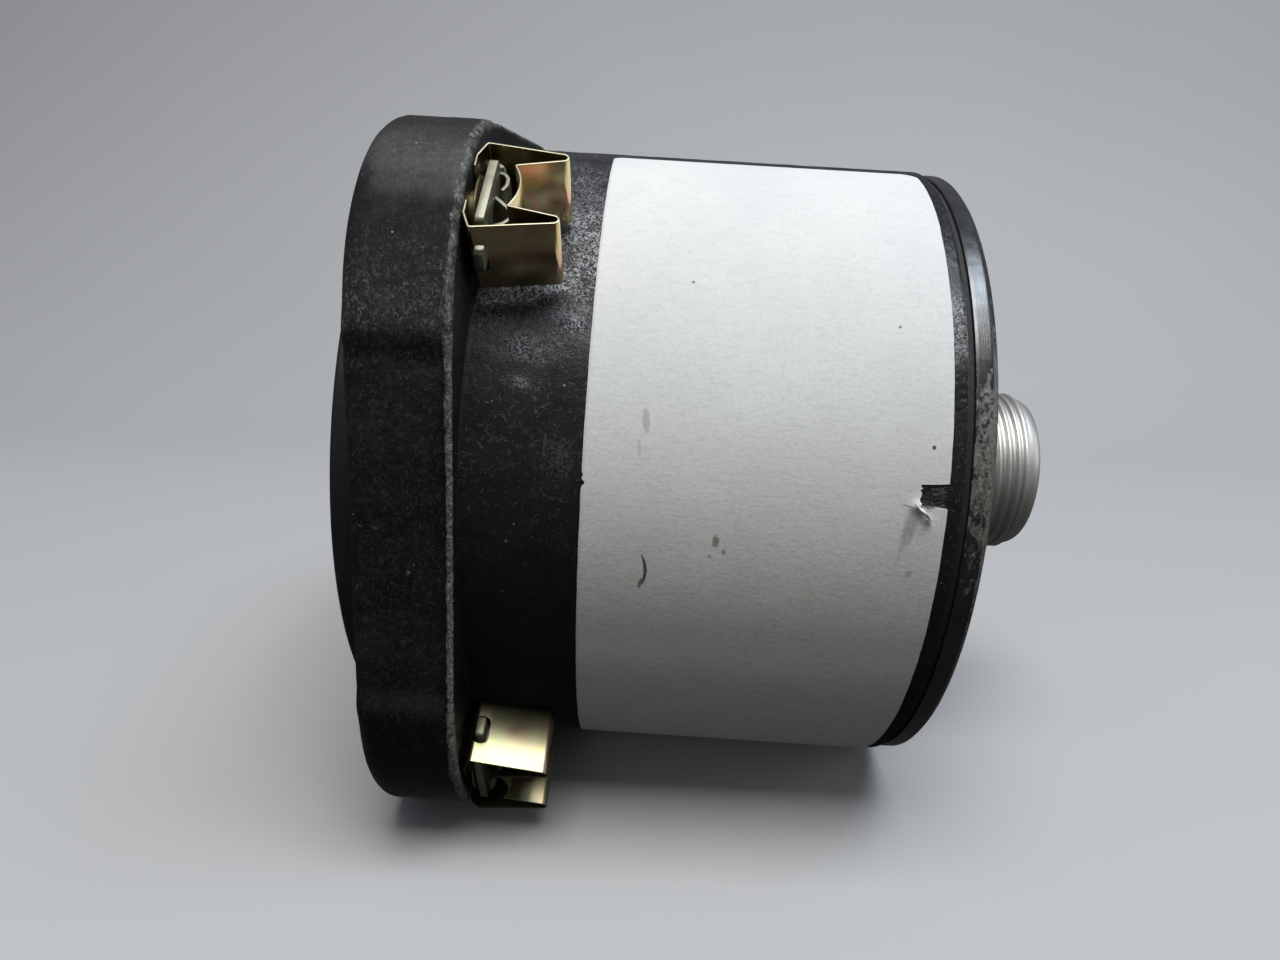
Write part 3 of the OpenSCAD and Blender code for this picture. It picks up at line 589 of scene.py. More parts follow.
def cover_material():
    m = Mat("cover_paint")
    wear = m.attr("wear")
    mid = m.noise(300, 5, 0.6)
    rub = m.noise(1.0, 6, 0.78, 0.9, vec=m.shifted((4, 4, 4), (640, 1300, 640)))
    col = m.ramp(mid, [(0.3, (0.008, 0.008, 0.009)), (0.7, (0.016, 0.016, 0.018))])
    wn = m.math("ADD", wear, m.math("MULTIPLY", m.math("SUBTRACT", rub, 0.5), 1.5))
    worn = m.math("MULTIPLY", m.band(wn, 0.50, 0.62), m.band(wear, 0.03, 0.2))
    worn_col = m.ramp(m.noise(2600, 4, 0.7), [(0.34, (0.045, 0.046, 0.038)), (0.5, (0.125, 0.125, 0.10)), (0.66, (0.26, 0.255, 0.215))])
    col = m.mix(m.math("MULTIPLY", worn, 0.85), col, worn_col)
    lines = m.noise(1.0, 3, 0.6, vec=m.scaled((45, 9000, 45)))
    rough = m.mix(worn, m.remap(mid, 0.3, 0.7, 0.20, 0.36), (0.5, 0.5, 0.5))
    n1 = m.bump(m.noise(700, 4, 0.6), 0.22, 0.06)
    n2 = m.bump(lines, 0.45, 0.03, n1)
    n3 = m.bump(worn, 0.5, -0.03, n2)
    return m.finish(Base_Color=col, Roughness=rough, Normal=n3, Specular_IOR_Level=1.0)


def paper_material():
    m = Mat("label_paper")
    x, y, z = m.axis(0), m.axis(1), m.axis(2)
    ang = m.math("ARCTAN2", x, z)
    s = m.math("MULTIPLY", ang, 39.7)            # arc length from the top, mm
    t = m.math("MULTIPLY", y, 1000.0)            # along the axis, mm
    fibre = m.noise(2400, 5, 0.7)
    cloud = m.noise(90, 4, 0.55)
    col = m.ramp(cloud, [(0.3, (0.675, 0.675, 0.665)), (0.7, (0.735, 0.735, 0.72))])
    col = m.mix(m.math("MULTIPLY", m.band(fibre, 0.46, 0.64), m.remap(s, 40, 85, 0.35, 1.0)), col, (0.59, 0.59, 0.575))
    col = m.mix(m.math("MULTIPLY", m.band(m.noise(1.0, 4, 0.6, 0.6, vec=m.scaled((70, 150, 70))), 0.48, 0.66), m.remap(s, 52, 80, 0.0, 0.40)), col, (0.63, 0.605, 0.56))

    def ellipse(s0, t0, hs, ht, bend=0.0, lean=0.0):
        """1 at the middle of a mark, 0 on its outline and beyond."""
        ds = m.math("DIVIDE", m.math("SUBTRACT", s, s0), hs)
        c = m.math("ADD", m.math("MULTIPLY", m.math("MULTIPLY", ds, ds), bend), m.math("MULTIPLY", ds, lean))
        dt = m.math("DIVIDE", m.math("SUBTRACT", m.math("SUBTRACT", t, t0), c), ht)
        q = m.math("ADD", m.math("MULTIPLY", ds, ds), m.math("MULTIPLY", dt, dt))
        return m.math("SUBTRACT", 1.0, q, clamp=True)

    # painted bounce light: the label turns paler towards its bottom, from 71 mm round from the top
    col = m.mix(m.math("MULTIPLY", m.band(s, 71.0, 77.0), 0.85), col, (0.90, 0.895, 0.88))
    # short wavy streaks of the sheet's surface, along the axis
    streak = m.noise(1.0, 4, 0.66, 0.9, vec=m.scaled((1900, 560, 1900)))
    col = m.mix(m.math("MULTIPLY", m.band(streak, 0.50, 0.66), m.remap(s, 15, 80, 0.30, 0.36)), col, (0.56, 0.56, 0.55))
    col = m.mix(m.band(s, 45, 72), col, (1.0, 0.972, 0.925), kind="MULTIPLY")
    rag = m.noise(2600, 4, 0.7)

    def stain(mask, colour, strength, soft=(0.25, 0.75)):
        nonlocal col
        k = m.math("MULTIPLY", mask, m.remap(rag, 0.25, 0.75, 0.4, 1.6))
        col = m.mix(m.math("MULTIPLY", m.band(k, *soft), strength), col, colour)

    # a thin curved rub of black
    stain(ellipse(64.9, 30.55, 2.15, 0.22, -0.62, 0.10), (0.045, 0.043, 0.04), 0.92, (0.18, 0.5))
    stain(ellipse(66.4, 30.1, 0.8, 0.25, 0, -0.15), (0.06, 0.058, 0.05), 0.75, (0.2, 0.6))
    # grey smudges
    stain(ellipse(49.4, 29.7, 1.7, 0.5, 0.1, 0.1), (0.33, 0.33, 0.27), 0.55)
    stain(ellipse(52.2, 29.2, 1.3, 0.35, 0, 0.2), (0.40, 0.40, 0.34), 0.35)
    stain(ellipse(61.2, 37.5, 1.0, 0.5, 0, 0), (0.12, 0.11, 0.09), 0.7)
    stain(ellipse(62.3, 38.4, 0.45, 0.3, 0, 0), (0.22, 0.15, 0.10), 0.6)
    stain(ellipse(62.9, 37.0, 0.30, 0.25, 0, 0), (0.15, 0.13, 0.10), 0.6)
    stain(ellipse(50.3, 58.5, 0.30, 0.26, 0, 0), (0.03, 0.03, 0.03), 0.9, (0.2, 0.5))
    # a painted shadow cast by the torn flap below the tear, a small grey spot, and the dirt along the front edge
    stain(ellipse(58.5, 56.8, 3.0, 0.85, 0, -0.45), (0.27, 0.265, 0.25), 0.85, (0.0, 1.4))
    stain(ellipse(60.4, 56.2, 3.2, 0.45, 0, -0.25), (0.42, 0.415, 0.40), 0.6, (0.0, 1.5))
    stain(ellipse(63.4, 57.3, 0.5, 0.5, 0, 0), (0.28, 0.27, 0.25), 0.5)
    edge = m.math("SUBTRACT", 1.0, m.band(t, 23.6, 24.1))
    stain(m.math("MULTIPLY", edge, 0.8), (0.45, 0.45, 0.44), 0.35)
    # tiny dark specks
    v = m.voronoi(300)
    pick = m.band(m.noise(260, 2, 0.5, vec=m.shifted((3, 3, 1))), 0.635, 0.66)
    sp = m.math("MULTIPLY", m.math("SUBTRACT", 1.0, m.band(v, 0.03, 0.07)), pick)
    col = m.mix(m.math("MULTIPLY", sp, 0.8), col, (0.10, 0.095, 0.085))
    r = m.remap(fibre, 0.3, 0.7, 0.62, 0.82)
    n1 = m.bump(m.noise(160, 3, 0.5), 0.30, 0.10)
    n2 = m.bump(m.noise(620, 4, 0.6), 0.45, 0.06, n1)
    n3 = m.bump(m.math("ADD", m.math("MULTIPLY", fibre, 0.5), m.math("MULTIPLY", streak, 0.6)), 0.8, 0.05, n2)
    return m.finish(Base_Color=col, Roughness=r, Normal=n3)


def chromate_material(name="chromate"):
    """Chromated spring steel: olive and neutral grey-gold, with pink and green at the bends that is partly the film's
    own colour and partly a painted reflection of the lit barrel.
    """
    m = Mat(name)
    cloud = m.noise(130, 3, 0.55, 0.8, vec=m.shifted((1.3, 0.7, 2.1)))
    streak = m.noise(1.0, 4, 0.6, 0.3, vec=m.scaled((500, 60, 500)))
    f = m.math("ADD", m.math("MULTIPLY", cloud, 0.7), m.math("MULTIPLY", streak, 0.3))
    col = m.ramp(f, [(0.30, (0.66, 0.40, 0.27)), (0.40, (0.76, 0.49, 0.32)), (0.47, (0.83, 0.61, 0.37)),
                     (0.53, (0.72, 0.68, 0.37)), (0.59, (0.87, 0.55, 0.41)), (0.72, (0.82, 0.63, 0.37))])
    # colour at the bends: partly the film's own pink and green, partly a painted reflection of the lit barrel
    bend = m.attr("bend")
    bend_film_and_reflection = m.ramp(m.noise(260, 3, 0.6, vec=m.shifted((7, 1, 1))), [(0.38, (0.84, 0.40, 0.36)), (0.52, (0.84, 0.68, 0.30)), (0.64, (0.66, 0.78, 0.28))])
    col = m.mix(m.math("MULTIPLY", bend, 0.75), col, bend_film_and_reflection)
    # painted shade on the faces that look into the folds
    inside = m.attr("inside")
    dark = m.ramp(cloud, [(0.36, (0.10, 0.065, 0.035)), (0.5, (0.16, 0.12, 0.06)), (0.64, (0.22, 0.20, 0.09))])
    col = m.mix(m.math("MULTIPLY", inside, 0.85), col, dark)
    rim = m.attr("rim")
    col = m.mix(m.math("MULTIPLY", rim, 0.85), col, (0.40, 0.38, 0.28))
    scr = m.noise(1.0, 3, 0.7, vec=m.shifted((0, 0, 0), (5200, 700, 900), (0.4, 0.3, 0.2)))
    col = m.mix(m.math("MULTIPLY", m.band(scr, 0.6, 0.8), 0.15), col, (0.45, 0.42, 0.28))
    # painted shade: the lower clips get a darker, less red colour that tones down their bright mirror highlight, and
    # are made rougher
    lower = m.math("SUBTRACT", 1.0, m.band(m.axis(2), -0.020, 0.0))
    col = m.mix(lower, col, (0.36, 0.425, 0.43), kind="MULTIPLY")
    r = m.math("ADD", m.remap(cloud, 0.3, 0.7, 0.15, 0.26), m.math("MULTIPLY", m.band(scr, 0.6, 0.8), 0.10))
    r = m.math("ADD", r, m.math("MULTIPLY", m.math("MAXIMUM", inside, rim), 0.12))
    r = m.math("ADD", r, m.math("MULTIPLY", lower, 0.10))
    n1 = m.bump(m.noise(700, 3, 0.6), 0.10, 0.03)
    n2 = m.bump(scr, 0.15, 0.01, n1)
    return m.finish(Base_Color=col, Metallic=1.0, Roughness=r, Normal=n2)


def nut_material():
    """The floating nut: a dull grey-khaki plating."""
    m = Mat("nut_plating")
    cloud = m.noise(420, 4, 0.6)
    col = m.ramp(cloud, [(0.32, (0.22, 0.21, 0.15)), (0.5, (0.30, 0.29, 0.22)), (0.68, (0.34, 0.37, 0.25))])
    scr = m.noise(1.0, 3, 0.7, vec=m.shifted((0, 0, 0), (5200, 700, 900), (0.4, 0.3, 0.2)))
    col = m.mix(m.math("MULTIPLY", m.band(scr, 0.55, 0.75), 0.35), col, (0.19, 0.18, 0.14))
    n1 = m.bump(m.noise(1500, 3, 0.6), 0.25, 0.03)
    n2 = m.bump(scr, 0.2, 0.012, n1)
    return m.finish(Base_Color=col, Metallic=0.65, Roughness=m.remap(cloud, 0.3, 0.7, 0.40, 0.54), Normal=n2)


def alu_material():
    m = Mat("bead_blasted_aluminium")
    big = m.noise(240, 4, 0.6)
    grain = m.noise(5200, 3, 0.6)
    rings = m.noise(1.0, 4, 0.7, vec=m.scaled((70, 9000, 70)))
    col = m.ramp(big, [(0.3, (0.64, 0.632, 0.595)), (0.7, (0.77, 0.76, 0.72))])
    col = m.mix(m.math("MULTIPLY", m.band(rings, 0.52, 0.75), 0.22), col, (0.55, 0.54, 0.50))
    col = m.mix(m.math("MULTIPLY", m.attr("groove"), 0.45), col, (0.42, 0.41, 0.38))
    r = m.remap(grain, 0.3, 0.7, 0.40, 0.54)
    n1 = m.bump(grain, 0.30, 0.02)
    n2 = m.bump(rings, 0.20, 0.02, n1)
    return m.finish(Base_Color=col, Metallic=1.0, Roughness=r, Normal=n2)


def glass_material():
    m = Mat("cover_glass")
    smear = m.noise(60, 3, 0.5)
    r = m.remap(smear, 0.35, 0.7, 0.0, 0.05)
    return m.finish(Base_Color=(0.98, 1.0, 0.99), Roughness=r, Transmission_Weight=1.0, IOR=1.47,
                    Normal=m.bump(m.noise(900, 2, 0.5), 0.02, 0.01))


M = {}
M["case"] = case_material()
M["cover"] = cover_material()
M["paper"] = paper_material()
M["chromate"] = chromate_material()
M["nut"] = nut_material()
M["alu"] = alu_material()
M["glass"] = glass_material()
M["bezel"] = plastic("bezel_paint", (0.014, 0.014, 0.015), 0.42, 0.3, dust_amount=0.12)
M["rubber"] = plastic("rubber", (0.012, 0.012, 0.012), 0.7, 0.3, dust_amount=0.10, grain=0.5)
M["inner_black"] = plastic("inner_black_paint", (0.02, 0.02, 0.021), 0.6, 0.25, dust_amount=0.05)
M["dial"] = plastic("dial_paint", (0.012, 0.012, 0.013), 0.75, 0.15, dust_amount=0.04, grain=0.2)
M["white"] = plastic("dial_white", (0.78, 0.77, 0.72), 0.6, 0.04, dust=(0.5, 0.48, 0.4), dust_amount=0.2, grain=0.2)
M["green"] = plastic("dial_green", (0.07, 0.36, 0.12), 0.6, 0.08, dust_amount=0.08, grain=0.2)
M["red"] = plastic("dial_red", (0.55, 0.035, 0.025), 0.6, 0.08, dust_amount=0.08, grain=0.2)
M["phenolic"] = plastic("phenolic", (0.16, 0.065, 0.028), 0.5, 0.2, dust_amount=0.12)
M["bobbin"] = plastic("bobbin", (0.03, 0.028, 0.024), 0.5, 0.2, dust_amount=0.1)
M["insert"] = plastic("insert_moulding", (0.045, 0.043, 0.038), 0.5, 0.2, dust_amount=0.25)
M["wire"] = plastic("wire_cover", (0.36, 0.03, 0.02), 0.45, 0.12, dust_amount=0.1)
M["jewel"] = plastic("jewel", (0.45, 0.03, 0.09), 0.12, 0.1, dust_amount=0.0, grain=0.05)
M["plate"] = metal("inner_aluminium", (0.78, 0.78, 0.77), 0.38)
M["steel"] = metal("plated_steel", (0.60, 0.59, 0.56), 0.30)
M["black_steel"] = metal("blackened_steel", (0.075, 0.073, 0.072), 0.36)
M["brass"] = metal("brass", (0.78, 0.60, 0.28), 0.30)
M["magnet"] = metal("magnet_alloy", (0.30, 0.30, 0.31), 0.46)
M["iron"] = metal("soft_iron", (0.48, 0.48, 0.48), 0.40)
M["bronze"] = metal("spring_bronze", (0.70, 0.47, 0.24), 0.28)
M["copper"] = metal("winding_copper", (0.72, 0.34, 0.17), 0.34)
M["contact"] = metal("contact_plating", (0.70, 0.66, 0.52), 0.30, turned=True)
M["eyelet"] = metal("eyelet_plating", (0.56, 0.48, 0.26), 0.33)

BY_NODE = {
    "M:glass": ["cover_glass"], "M:bezel": ["bezel_ring"], "M:cover": ["rear_cover"], "M:alu": ["connector_shell"],
    "M:rubber": ["glass_gasket", "cover_gasket", "connector_gasket"], "M:inner_black": ["reflector_ring"],
    "M:dial": ["dial_plate"], "M:white": ["pointer"], "M:phenolic": ["terminal_board"], "M:bobbin": ["resistor_bobbins"],
    "M:insert": ["connector_insert"], "M:wire": ["lead_wires"], "M:jewel": ["front_jewel"], "M:plate": ["mounting_plate", "coil_former"],
    "M:steel": ["stop_pins", "plate_screws", "pillar_screws", "frame_screws", "front_bridge_screws", "rear_bridge_screws",
                "front_staff", "rear_staff", "zero_adjust_screw", "board_posts", "connector_screws"],
    "M:black_steel": ["dial_screws", "cover_screws"],
    "M:brass": ["pillars", "movement_frame", "core_supports", "front_bridge", "rear_bridge", "adjuster_crank", "regulator_arm",
                "terminal_posts", "rear_jewel_screw", "jewel_lock_nut"],
    "M:magnet": ["magnet"], "M:iron": ["pole_pieces", "iron_core"], "M:bronze": ["rear_spring", "front_spring", "compensating_bimetal"],
    "M:copper": ["coil_winding", "resistor_windings"], "M:contact": ["connector_pins"], "M:paper": ["paper_label"],
    "M:eyelet": ["clip_eyelets"], "M:case": ["case_body"],
    "M:chromate": ["nut_cage_1", "nut_cage_2", "nut_cage_3", "nut_cage_4"], "M:nut": ["nut_plate_1", "nut_plate_2", "nut_plate_3", "nut_plate_4"],
}
for key, names in BY_NODE.items():
    for name in names:
        ob = CAD[name]
        ob.data.materials.clear()
        ob.data.materials.append(M[key[2:]])
for name in ("cover_screws", "connector_screws", "dial_screws", "zero_adjust_screw", "pointer", "connector_pins", "terminal_posts",
             "board_posts", "pillar_screws", "plate_screws", "mounting_plate", "front_bridge", "rear_bridge"):
    b = CAD[name].modifiers.new("edges", "BEVEL")
    b.width = 0.06 * MM
    b.segments = 2
    b.limit_method = "ANGLE"
    b.angle_limit = math.radians(40)


def add(ob, mat, body, nodes=()):
    ob.data.materials.clear()
    ob.data.materials.append(mat)
    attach(ob, body)
    if nodes:
        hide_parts(*nodes)
    return ob


# =============================================================== the case
HALF, CORNER, FLANGE_T, BARREL, CASE_END = 41.275, 20.7, 11.0, 39.6, 61.9


def outline(phi, inset, relief):
    """Distance from the axis to the flange's outline in each direction phi (clockwise from the top)."""
    m = np.mod(phi, math.pi / 2)
    psi = np.minimum(m, math.pi / 2 - m)
    h, r = HALF - inset, CORNER - inset
    c = h - r
    dx, dz = np.sin(psi), np.cos(psi)
    t = h * dx / dz
    k = 1 - smooth(t, 18.2, 20.8)
    flat = (h - 0.9 * k * relief) / dz
    s = dx + dz
    arc = c * s + np.sqrt(np.maximum(0, (c * s) ** 2 - 2 * c * c + r * r))
    return np.where(t <= c, flat, arc)


def build_case():
    N = 640
    phi = np.linspace(0, 2 * math.pi, N, endpoint=False)
    loops = []

    def loop(R, y):
        R, y = np.broadcast_to(R, (N,)), np.broadcast_to(y, (N,))
        loops.append(np.stack([R * np.sin(phi), y, R * np.cos(phi)], 1))

    m4 = np.mod(phi, math.pi / 2)
    psi = np.minimum(m4, math.pi / 2 - m4)
    ear = smooth(np.degrees(psi), 23.0, 31.0)
    re = 1.3 + 1.3 * ear
    loop(36.4, 0.5)
    loop(36.5, 0.4)
    loop(38.65, 0.4)
    loop(38.65, 0.06)
    loop(38.7, 0.0)
    # the front edge is rounded, much more on the ears than along the set-back middles
    edge = outline(phi, re, 1)
    for s in (0.5, 1.0):
        loop(38.7 + (edge - 38.7) * s, 0.0)
    for k in range(1, 10):
        a = math.radians(10 * k)
        loop(outline(phi, re * (1 - math.sin(a)), 1), re * (1 - math.cos(a)))
    for f in np.arange(1, 20) / 20.0:
        loop(outline(phi, 0, 1), re + (9.4 - re) * f)
    # the lip left behind each set-back middle has a ragged front edge
    rag = np.array([0.10 * noise.noise(Vector((41 * math.sin(a) * 0.9, 2.0, 41 * math.cos(a) * 0.9))) + 0.07 * noise.noise(Vector((41 * math.sin(a) * 3.1, 7.0, 41 * math.cos(a) * 3.1))) for a in phi])
    rag = rag - (0.24 * smooth(41 * np.cos(phi), 6, 11) + 0.22 * smooth(-41 * np.cos(phi), 9, 14)) * (np.sin(phi) > 0.5)
    loop(outline(phi, 0, 1), 10.14 + rag)
    loop(outline(phi, 0, 0.86), 10.24 + rag)
    loop(outline(phi, 0, 0.25), 10.33 + rag)
    loop(outline(phi, 0.02, 0.04), 10.43 + rag)
    loop(outline(phi, 0, 0), 10.52)
    for k in range(1, 9):
        a = math.radians(90 * k / 8)
        rr = 0.35 + 0.45 * ear
        loop(outline(phi, rr * (1 - math.cos(a)), 0), 11.0 - rr * (1 - math.sin(a)))
    rear = outline(phi, 0.35 + 0.45 * ear, 0)
    for s in (0.2, 0.5, 0.8, 1.0):
        loop(rear + (39.95 - rear) * s, 11.0)
    for r, y in ((39.76, 11.06), (39.64, 11.18), (39.6, 11.36)):
        loop(r, y)
    for y in np.arange(11.8, 61.3, 0.66):
        loop(BARREL, y)
    for r, y in ((39.6, 61.45), (39.57, 61.7), (39.48, 61.84), (39.3, 61.9), (38.4, 61.9), (37.4, 61.9), (36.75, 61.9), (36.6, 61.75)):
        loop(r, y)
    for r, y in ((36.6, 50), (36.6, 32), (36.6, 14.2), (36.5, 14.0), (33.1, 14.0), (33.0, 13.9), (33.0, 11.9), (33.1, 11.8), (36.3, 11.8), (36.4, 11.7), (36.4, 6)):
        loop(r, y)
    loops_ = np.array(loops)
    verts, faces = loft(loops_)
    ob = outward(new_mesh("case_shell", verts, faces))
    tools = []
    for a in (45, 135, 225, 315):
        lp = turned_loops([[2.3, -1], [2.3, 12.5]], 48)
        v, f = loft(lp, wrap_profile=False, cap_ends=True)
        v = v + np.array([44.45 * math.sin(math.radians(a)), 0, 44.45 * math.cos(math.radians(a))])
        tools.append(outward(new_mesh("tool", v, f)))
    cut(ob, tools)
    # lumps and dents; only ever inwards, so that the surface stays inside the CAD one
    co = coords(ob)
    R = np.hypot(co[:, 0], co[:, 2])
    ang = np.arctan2(co[:, 0], co[:, 2])
    out = outline(np.mod(ang, 2 * math.pi), 0, 0)
    y = co[:, 1]
    on_barrel = (R > 39.2) & (y > 11.3) & (y < 61.8)
    on_side = (y > 0.1) & (y < 11.02) & (R > 40.3)
    d = np.zeros(len(co))
    for i in np.nonzero(on_barrel | on_side)[0]:
        p = co[i]
        if on_barrel[i]:
            v = 0.035 * (fbm(p * 0.42, 3) + 0.6) + 0.030 * max(0.0, fbm(p * 1.3 + 7, 2) - 0.1)
            d[i] = min(0.12, max(0.0, v)) * min(1.0, (y[i] - 11.3) / 1.0, (61.8 - y[i]) / 0.6)
        else:
            v = 0.05 * (fbm(p * 0.25 + 31, 3) + 0.5)
            lip = smooth(y[i], 10.0, 10.3)
            nick = max(0.0, fbm(p * np.array([0.55, 0.3, 0.55]) + 11, 3) - 0.1) * 0.30 * lip
            d[i] = min(0.3, max(0.0, v) * (1 - lip) + nick + 0.03 * lip)
    scale = 1 - d / np.maximum(R, 1)
    moved = co.copy()
    sel = on_barrel | on_side
    moved[sel, 0] *= scale[sel]
    moved[sel, 2] *= scale[sel]
    set_coords(ob, moved)
    # wear: the lip behind each set-back middle, the outer edges, the corners' tops
    m4 = np.mod(np.mod(ang, 2 * math.pi), math.pi / 2)
    psi = np.minimum(m4, math.pi / 2 - m4)
    t = np.abs(HALF * np.tan(psi))
    mid = 1 - smooth(t, 18.2, 20.5)
    near_out = smooth(R - out, -0.75, -0.1)
    frag = np.array([0.12 * noise.noise(Vector(q * 0.8)) for q in co])
    lip = smooth(y + frag, 10.05, 10.45) * (1 - smooth(y, 10.97, 11.02)) * near_out
    corner = smooth(y + frag * 2, 9.8, 10.5) * smooth(R - out, -1.35 + 0.35 * mid, -0.8 + 0.35 * mid) * (1 - smooth(y, 10.996, 11.02))
    wear = np.maximum(lip * 0.80 * mid, corner * mid * 0.60) + corner * (1 - mid) * (0.62 + 0.16 * smooth(-co[:, 2], 14, 18))
    front = smooth(-y, -2.6, -0.6) * smooth(R - out, -2.4, -0.2) * 0.22
    wear = np.maximum(wear, front)
    end = smooth(y, 61.5, 61.85) * smooth(R, 39.2, 39.5) * 0.25
    wear = np.maximum(wear, end)
    attribute(ob, "wear", wear)
    # where the barrel's paint is pebbled: a broad patch high on the camera side and a few spots; the material paints
    # glare there as pale flecks
    deg = np.degrees(ang)
    gauss = np.exp(-((deg - 47) / 8.0) ** 2) + 0.35 * np.exp(-((deg - 30) / 16.0) ** 2)
    spots = sum(k * np.exp(-((deg - d) / w) ** 2 - ((y - c) / h) ** 2) for d, c, w, h, k in (
        (57.5, 22.0, 2.2, 1.6, 0.8), (61.5, 17.5, 2.0, 2.2, 0.75), (56.0, 14.0, 2.0, 2.0, 0.35), (67.0, 17.0, 1.0, 1.1, 0.32), (78.0, 21.0, 3.0, 1.6, 0.12)))
    silver = np.zeros(len(co))
    for i in np.nonzero(on_barrel & (y < 62))[0]:
        n_ = fbm(co[i] * 0.30 + 9, 3)
        here = gauss[i] * (1 - float(smooth(y[i], 25, 30))) * (0.75 + 0.9 * n_)
        silver[i] = min(1.0, max(0.0, here, spots[i] * (0.8 + 0.8 * n_)))
    attribute(ob, "silver", silver * on_barrel)
    shade(ob, 38)
    # bosses for the rear cover's screws, inside
    for i, a in enumerate((45, 135, 225, 315)):
        lp = turned_loops([[1.1, 52.3], [1.1, 61.8], [4.1, 61.8], [4.2, 61.7], [4.2, 47.2], [4.0, 47.0], [0.2, 47.0], [0.2, 52.0]], 40)
        v, f = loft(lp)
        v = v + np.array([33.4 * math.sin(math.radians(a)), 0, 33.4 * math.cos(math.radians(a))])
        b = shade(outward(new_mesh(f"case_boss_{i + 1}", v, f)), 35)
        attribute(b, "wear", np.zeros(len(b.data.vertices)))
        attribute(b, "silver", np.zeros(len(b.data.vertices)))
        add(b, M["case"], "case")
    return add(ob, M["case"], "case", ["case_body"])


case = build_case()


